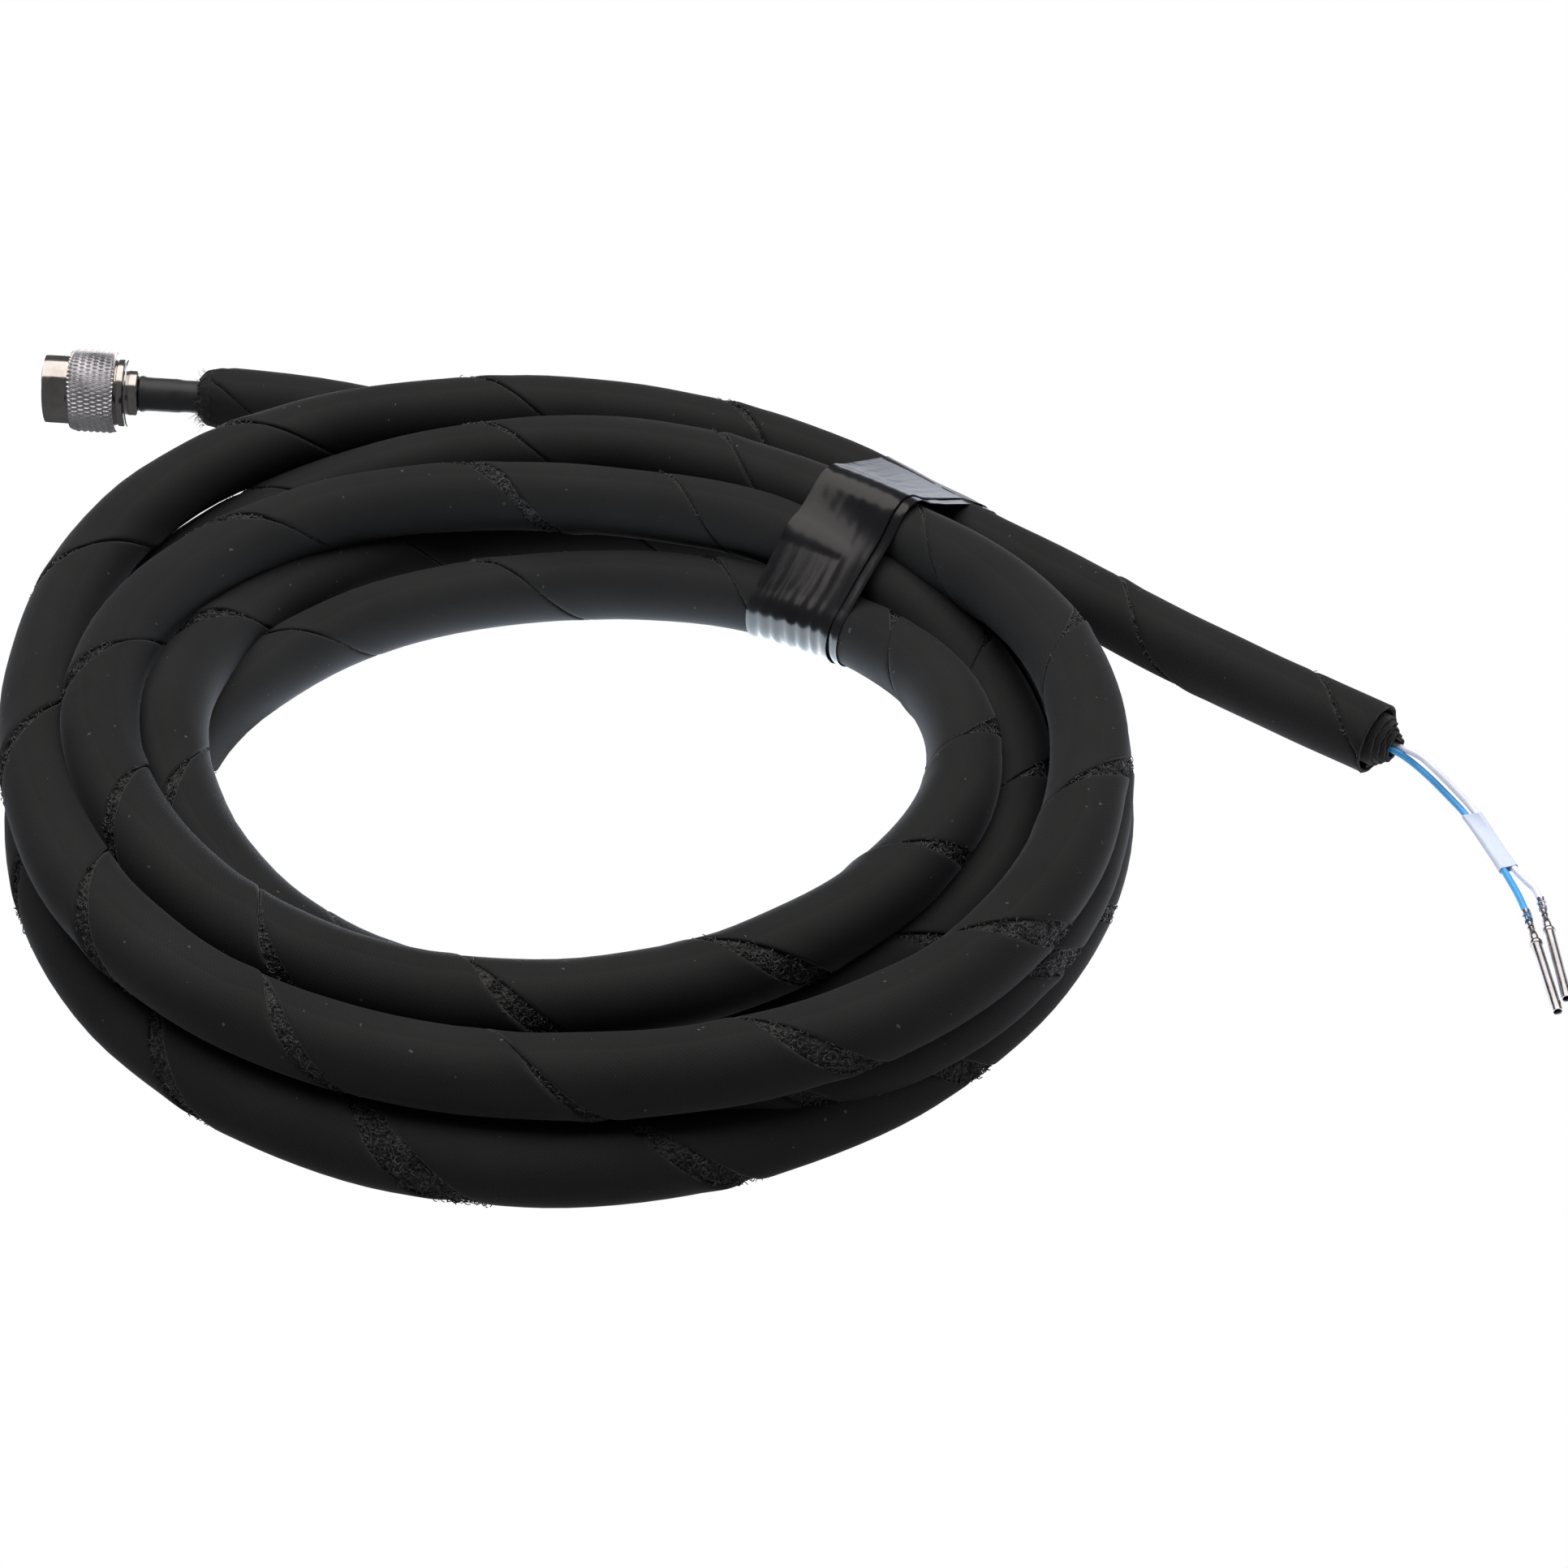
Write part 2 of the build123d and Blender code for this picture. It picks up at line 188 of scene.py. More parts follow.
def route_curve(name, points, thickness=0.0):
    """One smooth open spline with the route's points as its control points."""
    curve = bpy.data.curves.new(name, "CURVE")
    curve.dimensions = "3D"
    curve.resolution_u = 12
    line = curve.splines.new("NURBS")
    line.points.add(len(points) - 1)
    for point, place in zip(line.points, points):
        point.co = (*place, 1)
    line.order_u = 3
    line.use_endpoint_u = True
    curve.bevel_depth = thickness / 2
    curve.bevel_resolution = 6
    curve.use_fill_caps = thickness > 0
    return add_object(name, curve)


def ring_angles(count):
    return np.linspace(0, TURN, count, endpoint=False)


def unit(vectors):
    return vectors / np.maximum(np.linalg.norm(vectors, axis=-1, keepdims=True), 1e-12)


class Line:
    """A route's smooth line with an upright frame at every distance along it."""

    def __init__(self, points):
        points = np.array(points, float)
        steps = np.linalg.norm(np.diff(points, axis=0), axis=1)
        points = points[np.r_[True, steps > 1e-7]]
        steps = np.linalg.norm(np.diff(points, axis=0), axis=1)
        self.points = points
        self.along = np.r_[0, np.cumsum(steps)]
        self.length = float(self.along[-1])
        self.tangents = unit(np.gradient(points, self.along, axis=0))
        self.bends = np.gradient(self.tangents, self.along, axis=0)

    def read(self, values, along):
        at = np.clip(along, 0, self.length)
        return np.stack([np.interp(at, self.along, values[:, k]) for k in range(3)], axis=-1)

    def frame(self, along):
        """Place, direction, up and side at each distance; side is to the right of the way along."""
        along = np.asarray(along, float)
        tangent = unit(self.read(self.tangents, along))
        past = (along - np.clip(along, 0, self.length))[..., None]
        place = self.read(self.points, along) + tangent * past
        up = unit(np.array([0, 0, 1.0]) - tangent * tangent[..., 2:3])
        return place, tangent, up, np.cross(tangent, up)

    def around(self, along, angle, radius):
        """Points on the surface round the line: angle 0 is the top."""
        place, _, up, side = self.frame(along)
        angle = np.asarray(angle)[..., None]
        radius = np.asarray(radius)[..., None]
        return place + radius * (up * np.cos(angle) + side * np.sin(angle))

    def outward_bend(self, along, angle):
        """How sharply the line bends away from this side: above 0 on the outer side of a bend."""
        bend = self.read(self.bends, along)
        _, _, up, side = self.frame(along)
        angle = np.asarray(angle)[..., None]
        return -(bend * (up * np.cos(angle) + side * np.sin(angle))).sum(-1)


def line_through(route):
    """The smooth line that a route makes."""
    curve = route_curve("route", route)
    mesh = bpy.data.meshes.new_from_object(curve)
    line = Line([v.co.copy() for v in mesh.vertices])
    bpy.data.meshes.remove(mesh)
    bpy.data.objects.remove(curve)
    return line


CABLE = line_through(TAIL_ROUTE[::-1] + [TAIL_JOIN] + coil_points() + LEAD_ROUTE)


# Mesh building.
class Shape:
    """Collects the faces of one mesh."""

    def __init__(self):
        self.points = []
        self.faces = []
        self.uvs = []
        self.slots = []
        self.count = 0

    def add(self, points, faces, uvs, slot):
        self.points.append(np.asarray(points, float).reshape(-1, 3))
        self.faces += [tuple(int(i) + self.count for i in face) for face in faces]
        self.uvs.append(np.asarray(uvs, float).reshape(-1, 2))
        self.slots += [slot] * len(faces)
        self.count += len(self.points[-1])

    def grid(self, points, uv=None, wrap_rows=False, wrap_columns=False, slot=0):
        """A grid of points; a wrapped direction joins its last points to its first."""
        points = np.asarray(points, float)
        rows, columns = points.shape[:2]
        i, j = np.meshgrid(
            np.arange(rows - (not wrap_rows)), np.arange(columns - (not wrap_columns)), indexing="ij"
        )
        corners = [(i, j), (i, j + 1), (i + 1, j + 1), (i + 1, j)]
        faces = np.stack([(a % rows * columns + b % columns).ravel() for a, b in corners], axis=1)
        if uv is None:
            steps = np.stack(np.meshgrid(np.arange(rows + 1), np.arange(columns + 1), indexing="ij"), -1)
            uv = steps / [max(rows, 1), max(columns, 1)]
        corner_uv = np.stack([uv[a, b] for a, b in corners], axis=-2)
        self.add(points, faces, corner_uv, slot)

    def cap(self, ring, slot=0):
        """One flat face over a ring of points."""
        ring = np.asarray(ring, float)
        self.add(ring, [range(len(ring))], np.zeros((len(ring), 2)), slot)

    def piece(self, name, body, materials, slot, merge=0.0, sharp=None, recalculate=True):
        """The finished object, riding on its body."""
        mesh = bpy.data.meshes.new(name)
        mesh.from_pydata(np.concatenate(self.points).tolist(), [], self.faces)
        layer = mesh.uv_layers.new(name="weave")
        layer.data.foreach_set("uv", np.concatenate(self.uvs).astype(np.float32).ravel())
        mesh.polygons.foreach_set("material_index", self.slots)
        mesh.polygons.foreach_set("use_smooth", [True] * len(self.faces))
        if merge or recalculate:
            work = bmesh.new()
            work.from_mesh(mesh)
            if merge:
                bmesh.ops.remove_doubles(work, verts=work.verts, dist=merge)
            if recalculate:
                bmesh.ops.recalc_face_normals(work, faces=work.faces)
            work.to_mesh(mesh)
            work.free()
        if sharp is not None:
            mesh.set_sharp_from_angle(angle=math.radians(sharp))
        for one in materials:
            mesh.materials.append(one)
        made = add_object(name, mesh)
        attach(made, body)
        return made


def wobble(x, seed, size=1.0, octaves=5):
    """Smooth noise of about -1 to 1 along x, which changes over about size."""
    rng = np.random.default_rng(seed)
    x = np.asarray(x, float) / size
    total = np.zeros_like(x)
    for k in range(octaves):
        rate = TURN * rng.uniform(0.25, 0.5) * 1.6**k
        total += np.sin(x * rate + rng.uniform(0, TURN)) / 1.35**k
    return total / 2.4


def smoothstep(x):
    x = np.clip(x, 0, 1)
    return x * x * (3 - 2 * x)


# Materials.
class Paint:
    """A material's node tree, with short calls for what these materials use."""

    def __init__(self, name, colour, roughness, metallic=0.0, **values):
        self.material = bpy.data.materials.new(name)
        self.material.use_nodes = True
        self.tree = self.material.node_tree
        self.shader = self.tree.nodes["Principled BSDF"]
        self.set("Base Color", (*colour, 1))
        self.set("Roughness", roughness)
        self.set("Metallic", metallic)
        for key, value in values.items():
            self.set(key.replace("_", " "), value)

    def set(self, socket, value):
        self.shader.inputs[socket].default_value = value

    def node(self, kind, settings=None, **inputs):
        made = self.tree.nodes.new(kind)
        for key, value in (settings or {}).items():
            setattr(made, key, value)
        for key, value in inputs.items():
            socket = made.inputs[int(key[1:])] if key[0] == "i" and key[1:].isdigit() else made.inputs[key]
            if isinstance(value, bpy.types.NodeSocket):
                self.tree.links.new(value, socket)
            else:
                socket.default_value = value
        return made

    def math(self, operation, a, b=0.0):
        return self.node("ShaderNodeMath", {"operation": operation}, i0=a, i1=b).outputs[0]

    def place(self):
        return self.node("ShaderNodeTexCoord").outputs["Object"]

    def weave_uv(self):
        uv = self.node("ShaderNodeUVMap", {"uv_map": "weave"}).outputs[0]
        parts = self.node("ShaderNodeSeparateXYZ", i0=uv)
        return parts.outputs[0], parts.outputs[1]

    def noise(self, scale, detail=3.0, roughness=0.55):
        made = self.node(
            "ShaderNodeTexNoise", Vector=self.place(), Scale=scale, Detail=detail, Roughness=roughness
        )
        return made.outputs["Fac"]

    def wave(self, value, period, phase=0.0):
        """A sine of the value, from 0 to 1."""
        turned = self.math("ADD", self.math("MULTIPLY", value, TURN / period), phase)
        return self.math("ADD", self.math("MULTIPLY", self.math("SINE", turned), 0.5), 0.5)

    def ramp(self, value, *stops):
        """Colours or grey values between stops of (place, colour)."""
        made = self.node("ShaderNodeValToRGB", Fac=value)
        elements = made.color_ramp.elements
        while len(elements) < len(stops):
            elements.new(0.5)
        for element, (place, colour) in zip(elements, stops):
            element.position = place
            element.color = (*colour, 1) if hasattr(colour, "__len__") else (colour, colour, colour, 1)
        return made.outputs["Color"]

    def mix(self, share, a, b):
        made = self.node("ShaderNodeMix", {"data_type": "RGBA"})
        for index, value in ((0, share), (6, a), (7, b)):
            if isinstance(value, bpy.types.NodeSocket):
                self.tree.links.new(value, made.inputs[index])
            else:
                made.inputs[index].default_value = value if index == 0 else (*value, 1)
        return made.outputs[2]

    def link(self, output, socket):
        self.tree.links.new(output, self.shader.inputs[socket])

    def bump(self, height, distance, strength):
        return self.node("ShaderNodeBump", Height=height, Distance=distance, Strength=strength).outputs[0]


def knit_material():
    """Close-knit black fabric: rows of fine stitches, painted shade in the valleys between stitches, fuzz
    and a little lint.
    """
    paint = Paint("knit_fabric", (0.012, 0.012, 0.0125), 0.8, Specular_IOR_Level=0.22)
    paint.set("Sheen Weight", 0.12)
    paint.set("Sheen Roughness", 0.3)
    paint.set("Sheen Tint", (0.8, 0.86, 1.0, 1))
    along, across = paint.weave_uv()
    rows = paint.wave(across, 0.46)
    lean = paint.math("MULTIPLY", rows, 0.22)
    stitches = paint.wave(paint.math("ADD", along, lean), 0.40)
    loops = paint.math("MULTIPLY", stitches, paint.math("ADD", paint.math("MULTIPLY", rows, 0.6), 0.4))
    fuzz = paint.noise(5200, 2.0)
    patches = paint.noise(60, 4.0)
    height = paint.math("ADD", paint.math("MULTIPLY", loops, 0.8), paint.math("MULTIPLY", fuzz, 0.5))
    # Painted shade: the colour darkens in the valleys between the stitches, mixed with random darker and
    # lighter patches of the fabric.
    valley_shade_and_tone = paint.math("ADD", paint.math("MULTIPLY", loops, 0.45), paint.math("MULTIPLY", patches, 0.55))
    colour = paint.ramp(valley_shade_and_tone, (0.15, (0.0085, 0.0084, 0.0085)), (0.85, (0.0175, 0.0173, 0.0175)))
    lint = paint.ramp(paint.noise(900, 1.0, 0.4), (0.785, 0.0), (0.80, 1.0))
    paint.link(paint.mix(lint, colour, (0.06, 0.06, 0.065)), "Base Color")
    paint.link(paint.bump(height, 0.00004, 0.4), "Normal")
    return paint.material


def edge_material():
    """The cut edge of the strip: darker, with short fibres."""
    paint = Paint("wrap_edge", (0.012, 0.012, 0.013), 0.9, Specular_IOR_Level=0.2)
    paint.set("Sheen Weight", 0.15)
    fibres = paint.noise(3200, 4.0, 0.7)
    paint.link(paint.ramp(fibres, (0.3, 0.004), (0.75, 0.018)), "Base Color")
    paint.link(paint.bump(fibres, 0.0002, 0.9), "Normal")
    return paint.material


def pile_material():
    """The curly backing that shows in the seams."""
    paint = Paint("hook_fabric", (0.008, 0.008, 0.009), 0.5, Specular_IOR_Level=0.5)
    curls = paint.node("ShaderNodeTexVoronoi", Vector=paint.place(), Scale=1900.0).outputs["Distance"]
    rough = paint.math("ADD", curls, paint.math("MULTIPLY", paint.noise(2500, 3.0), 0.6))
    paint.link(paint.ramp(rough, (0.25, 0.004), (0.95, 0.02)), "Base Color")
    paint.link(paint.bump(rough, 0.0003, 0.9), "Normal")
    return paint.material


def yarn_material():
    """The looped yarn: slightly shiny dark fibre, some of it paler."""
    paint = Paint("loop_yarn", (0.02, 0.02, 0.022), 0.32, Specular_IOR_Level=0.75)
    pale = paint.noise(420, 2.0)
    paint.link(paint.ramp(pale, (0.3, (0.012, 0.012, 0.013)), (0.7, (0.055, 0.057, 0.060))), "Base Color")
    paint.link(paint.bump(paint.noise(9000, 2.0), 0.00003, 0.5), "Normal")
    return paint.material


def tape_material():
    """Glossy black vinyl tape."""
    paint = Paint("pvc_tape", (0.006, 0.006, 0.007), 0.2, Specular_IOR_Level=0.55)
    grain = paint.noise(700, 4.0)
    smears = paint.noise(90, 3.0)
    paint.link(paint.ramp(smears, (0.3, 0.15), (0.75, 0.28)), "Roughness")
    paint.link(paint.ramp(smears, (0.3, (0.005, 0.005, 0.006)), (0.8, (0.010, 0.010, 0.012))), "Base Color")
    paint.link(paint.bump(grain, 0.00003, 0.35), "Normal")
    return paint.material


def metal_material(name, colour, roughness, scratch=0.25, metallic=1.0):
    """Plated metal with fine handling marks."""
    paint = Paint(name, colour, roughness, metallic=metallic)
    marks = paint.noise(2600, 3.0, 0.6)
    stains = paint.noise(240)
    low, high = roughness * 0.7, min(roughness * 1.7, 0.8)
    paint.link(paint.ramp(paint.math("ADD", marks, stains), (0.7, low), (1.3 / 1.4, high)), "Roughness")
    dark = tuple(c * 0.72 for c in colour)
    paint.link(paint.ramp(stains, (0.25, dark), (0.6, colour)), "Base Color")
    paint.link(paint.bump(marks, 0.00002, scratch), "Normal")
    return paint.material


def plastic_material(name, colour, roughness, spread=0.18, relief=0.00002, **values):
    """Moulded or extruded plastic with slight mottling."""
    paint = Paint(name, colour, roughness, **values)
    low = tuple(c * (1 - spread) for c in colour)
    high = tuple(min(1.0, c * (1 + spread)) for c in colour)
    shine = paint.ramp(paint.noise(500, 2.0), (0.3, roughness * 0.85), (0.7, roughness * 1.2))
    paint.link(paint.ramp(paint.noise(250), (0.3, low), (0.7, high)), "Base Color")
    paint.link(shine, "Roughness")
    paint.link(paint.bump(paint.noise(1500), relief, 0.5), "Normal")
    return paint.material


def braid_material():
    """Fine crossing wires of the screen."""
    paint = Paint("screen_braid", (0.6, 0.58, 0.55), 0.3, metallic=1.0)
    place = paint.node("ShaderNodeSeparateXYZ", i0=paint.place())
    one = paint.wave(paint.math("ADD", place.outputs[0], place.outputs[2]), 0.0006)
    other = paint.wave(paint.math("SUBTRACT", place.outputs[1], place.outputs[2]), 0.0006)
    wires = paint.math("MAXIMUM", one, other)
    paint.link(paint.ramp(wires, (0.3, (0.2, 0.18, 0.17)), (0.9, (0.66, 0.64, 0.6))), "Base Color")
    paint.link(paint.bump(wires, 0.0001, 0.7), "Normal")
    return paint.material


KNIT = knit_material()
EDGE = edge_material()
PILE = pile_material()
YARN = yarn_material()
TAPE = tape_material()
NICKEL = metal_material("nickel", (0.76, 0.72, 0.69), 0.09, scratch=0.08)
# Painted light: the knurl's nickel is a lighter, whiter copy of the plain nickel, so that the knurl looks
# more brightly lit than the smooth bands.
KNURL_NICKEL_PAINTED_LIGHTER = metal_material("knurled_nickel_painted_lighter", (0.93, 0.92, 0.96), 0.22, scratch=0.02, metallic=0.88)
STEEL = metal_material("contact_steel", (0.80, 0.79, 0.82), 0.14, scratch=0.03)
SPRING = metal_material("spring_steel", (0.72, 0.72, 0.73), 0.14)
GOLD = metal_material("gold_plate", (0.86, 0.62, 0.27), 0.15)
COPPER = metal_material("bare_wire", (0.78, 0.52, 0.38), 0.25)
BRAID = braid_material()
SHRINK = plastic_material(
    "heat_shrink", (0.020, 0.020, 0.022), 0.42, relief=0.00006, Specular_IOR_Level=0.45
)
JACKET = plastic_material("cable_jacket", (0.025, 0.025, 0.027), 0.5)
PTFE = plastic_material(
    "ptfe", (0.86, 0.86, 0.83), 0.5, spread=0.04, Subsurface_Weight=0.2, Subsurface_Scale=0.001
)
SILICONE = plastic_material("silicone", (0.5, 0.09, 0.05), 0.55)
BLUE = plastic_material("blue_insulation", (0.05, 0.34, 0.74), 0.35, spread=0.08, Coat_Weight=0.3)
WHITE = plastic_material("white_insulation", (0.74, 0.76, 0.90), 0.35, spread=0.04, Coat_Weight=0.3)
LABEL = plastic_material("label", (0.56, 0.62, 0.78), 0.6, spread=0.05)
PALE_YARN = plastic_material("pale_yarn", (0.20, 0.20, 0.22), 0.6)


# Wrap: one strip wound in a right-handed spiral. It was wound by hand, so the distance between
# turns of its seam changes along the cable: (turns, millimetres each), from the open end.
SEAM_START = 9.5
SEAM_RUNS = [
    (3, 37.8), (4, 42.7), (2, 36.6), (5, 33.4), (4, 39.7), (3, 45.7), (4, 35.8), (6, 38.1), (5, 39.9),
    (1, 29.0), (3, 31.2), (2, 42.0), (1, 30.0), (4, 33.1), (1, 28.0), (2, 34.1), (2, 37.0), (3, 41.6),
    (2, 36.5), (5, 41.0), (3, 56.0),
]
# Seams that were left more open than the others: turn, extra millimetres.
OPEN_SEAMS = [
    (5, 0.6), (7, 0.9), (8.7, 0.9), (11, 1.4), (12, 1.2), (20, 1.0), (21, 1.0), (22, 4.2), (23.2, 1.6),
    (24, 2.4), (31, 1.8), (40, 3.4), (41, 2.0), (42, 1.2), (43, 0.8), (46, 1.8), (55, 1.0), (57, 1.6),
]
ROWS_PER_TURN = 56
GAP = 0.0008
GAP_CHANGE = 0.0008
GAP_LEAST = 0.00025
GAP_RAGGED = 0.00010


def wound_seam():
    """Distances at which the seam passes the top of the cable, with two turns before the start."""
    steps = [SEAM_RUNS[0][1]] * 2 + [each for count, each in SEAM_RUNS for _ in range(count)]
    return (SEAM_START + np.r_[0, np.cumsum(steps)] - 2 * SEAM_RUNS[0][1]) * MM


SEAM_TOPS = wound_seam()


def seam_at(turn):
    """Distance along the cable at which the seam has turned this many times."""
    return np.interp(np.asarray(turn) + 2, np.arange(len(SEAM_TOPS)), SEAM_TOPS)


def turn_at(along):
    return np.interp(along, SEAM_TOPS, np.arange(len(SEAM_TOPS))) - 2


def seam_gap(turn):
    """Width of the open seam, along the cable's middle: it opens on the outer side of a bend."""
    along = seam_at(turn)
    stretch = 1 + WRAP_R * CABLE.outward_bend(along, turn * TURN)
    pitch = seam_at(turn + 0.5) - seam_at(turn - 0.5)
    gap = GAP + pitch * (stretch - 1) + GAP_CHANGE * wobble(turn, 11, 1.3)
    for middle, extra in OPEN_SEAMS:
        gap = gap + extra * MM * smoothstep((0.75 - np.abs(turn - middle)) / 0.45)
    return np.maximum(gap + GAP_RAGGED * wobble(turn, 12, 0.04), GAP_LEAST) / stretch


def skin(along, angle):
    """Slow unevenness of the wrapped surface."""
    rng = np.random.default_rng(21)
    total = np.zeros(np.broadcast(along, angle).shape)
    for count in (0, 1, 1, 2, 2, 3, 4):
        rate = TURN * rng.uniform(12, 55)
        total += np.sin(along * rate + count * angle + rng.uniform(0, TURN))
    return total / 5


# Across the strip: (share of its width, share of its thickness), over the outer face and back.
STRIP_SECTION = [
    (0.0, 0.0), (0.0, 0.45), (0.004, 0.78), (0.012, 0.95), (0.03, 1.0), (0.07, 1.0), (0.14, 1.0),
    (0.22, 1.0), (0.32, 1.0), (0.42, 1.0), (0.52, 1.0), (0.62, 1.0), (0.72, 1.0), (0.80, 1.0),
    (0.87, 1.0), (0.93, 1.0), (0.97, 1.0), (0.988, 0.95), (0.996, 0.78), (1.0, 0.45), (1.0, 0.0),
    (0.75, 0.0), (0.5, 0.0), (0.25, 0.0),
]
EDGE_COLUMNS = (0, 1, 2, 18, 19)
END_TUCK = 0.0006
TUCK_LENGTH = 0.0018


def end_tuck(along):
    """How far the wrap is drawn in towards its end at the plug."""
    return END_TUCK * smoothstep((along - CABLE.length + TUCK_LENGTH) / TUCK_LENGTH)


def make_outer_wrap():
    start, end = turn_at(0) - 1, turn_at(CABLE.length)
    turns = np.linspace(start, end, int((end - start) * ROWS_PER_TURN))[:, None]
    across, thick = (np.array(values)[None, :] for values in zip(*STRIP_SECTION))
    first = seam_at(turns) + seam_gap(turns) / 2
    last = seam_at(turns + 1) - seam_gap(turns + 1) / 2
    along = np.clip(first + (last - first) * across, 0, CABLE.length)
    angle = turns * TURN + 0 * along
    crown = 0.00012 * np.sin(math.pi * across)
    lifted = 0.00018 + 0.00022 * wobble(turns, 31, 0.7)
    tucked = 0.00006 + 0.00016 * wobble(turns, 32, 0.8)
    edges = lifted * smoothstep((across - 0.86) / 0.14) + tucked * smoothstep((0.12 - across) / 0.12)
    outer = WRAP_R - 0.0001 + crown + edges + 0.0001 * skin(along, angle)
    radius = UNDER_R + (outer - UNDER_R) * thick - end_tuck(along)
    grid = CABLE.around(along, angle, radius)
    helix = math.hypot(WRAP_PITCH, TURN * WRAP_R)
    lengthwise, crosswise = WRAP_PITCH / helix, TURN * WRAP_R / helix
    u = (along * lengthwise + turns * TURN * WRAP_R * crosswise) / MM
    v = (along - seam_at(turns)) * crosswise / MM
    uv = np.stack([u, v], axis=-1)
    uv = np.concatenate([uv, uv[:, :1]], axis=1)
    shape = Shape()
    shape.grid(grid, uv, wrap_columns=True)
    slots = np.zeros((len(turns) - 1, len(STRIP_SECTION)), int)
    slots[:, EDGE_COLUMNS] = 1
    shape.slots = slots.ravel().tolist()
    for place, outwards, tuck in ((0.0, -1, 0.0), (CABLE.length, 1, END_TUCK)):
        shape.grid(wrap_rim(place, outwards, tuck), wrap_rows=True, slot=1)
    piece = shape.piece("outer_wrap", "cable", [KNIT, EDGE], "knit_fabric", merge=2e-7)
    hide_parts("cable_coil", "tail_outer_wrap", "lead_outer_wrap")
    return piece


def wrap_rim(place, outwards, tuck):
    """The cut end of the wrap: a slightly ragged ring."""
    angles = ring_angles(72)[:, None]
    reach = np.array([0.0, 0.00012, 0.00016, 0.00016, 0.0001, -0.0004])[None, :]
    radius = np.array([WRAP_R, WRAP_R - 0.0001, WRAP_R - 0.0003, UNDER_R + 0.0002, UNDER_R, UNDER_R]) - tuck
    ragged = 0.00007 * wobble(angles * 3, 41, 0.6)
    return CABLE.around(place + outwards * (reach + ragged), angles + 0 * reach, radius[None, :] + ragged)


def make_under_wrap():
    rings = np.linspace(0.0003, CABLE.length - 0.0003, int(CABLE.length / 0.0022))[:, None]
    angles = ring_angles(28)[None, :]
    radius = UNDER_R + 0.00006 * skin(rings * 5, angles * 2) - end_tuck(rings)
    shape = Shape()
    shape.grid(CABLE.around(rings + 0 * angles, angles + 0 * rings, radius), wrap_columns=True)
    piece = shape.piece("under_wrap", "cable", [PILE], "hook_fabric")
    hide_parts("tail_under_wrap", "lead_under_wrap")


def yarn_loops(name, centres, first, second, size, rng):
    """Open rings of yarn, one at each centre, in the planes of the two directions."""
    thickness = 0.000075
    steps = 8
    count = len(centres)
    start = rng.uniform(0, TURN, (count, 1))
    swing = rng.uniform(0.6, 0.9, (count, 1)) * TURN
    angle = (start + swing * np.linspace(0, 1, steps))[..., None]
    first, second = first[:, None, :], second[:, None, :]
    outwards = first * np.cos(angle) + second * np.sin(angle)
    growth = (1 + 0.25 * np.linspace(-1, 1, steps))[None, :, None]
    ring = centres[:, None, :] + outwards * size[:, None, None] * growth
    normal = np.cross(first, second)
    ring = ring + normal * size[:, None, None] * 0.5 * np.linspace(-1, 1, steps)[None, :, None]
    sides = np.arange(3) * TURN / 3
    tube = (
        ring[:, :, None, :]
        + thickness * outwards[:, :, None, :] * np.cos(sides)[None, None, :, None]
        + thickness * normal[:, :, None, :] * np.sin(sides)[None, None, :, None]
    )
    points = tube.reshape(-1, 3)
    base = (np.arange(count) * steps * 3)[:, None, None, None]
    step = (np.arange(steps - 1) * 3)[None, :, None, None]
    side = np.arange(3)[None, None, :, None]
    near = step + side
    after = step + (side + 1) % 3
    faces = (base + np.concatenate([near, after, after + 3, near + 3], axis=3)).reshape(-1, 4)
    ends = np.concatenate([
        np.stack([base[:, 0, 0, 0] + k for k in (2, 1, 0)], 1),
        np.stack([base[:, 0, 0, 0] + (steps - 1) * 3 + k for k in (0, 1, 2)], 1),
    ])
    shape = Shape()
    shape.points = [points]
    shape.faces = faces.tolist() + ends.tolist()
    shape.uvs = [np.zeros((faces.size + ends.size, 2))]
    shape.slots = [0] * len(shape.faces)
    shape.piece(name, "cable", [YARN], "hook_fabric", recalculate=False)


LOOPS_TRIED = 45000
YARN_PIECES = 3


def make_seam_loops():
    """Curly yarn standing in the open seam, thickest where the seam is widest."""
    rng = np.random.default_rng(51)
    turns = rng.uniform(turn_at(0.001), turn_at(CABLE.length - 0.001), LOOPS_TRIED)
    gap = seam_gap(turns)
    kept = rng.uniform(0, 0.0075, len(turns)) < gap - 0.0002
    turns, gap = turns[kept], gap[kept]
    along = seam_at(turns) + gap * rng.uniform(-0.46, 0.46, len(turns))
    kept = (along > 0.0004) & (along < CABLE.length - 0.0004)
    turns, along = turns[kept], along[kept]
    angle = turns * TURN
    size = rng.uniform(0.00028, 0.00050, len(turns))
    centres = CABLE.around(along, angle, UNDER_R + 0.00005 + rng.uniform(0, 0.00025, len(turns)))
    outwards = unit(centres - CABLE.frame(along)[0])
    spin = rng.normal(size=(len(turns), 3))
    first = unit(np.cross(outwards, spin))
    lean = rng.uniform(0.3, 1.5, (len(turns), 1))
    second = unit(outwards * np.cos(lean) + np.cross(outwards, first) * np.sin(lean))
    for k in range(YARN_PIECES):
        part = slice(k, None, YARN_PIECES)
        yarn_loops(f"seam_yarn_{k + 1}", centres[part], first[part], second[part], size[part], rng)


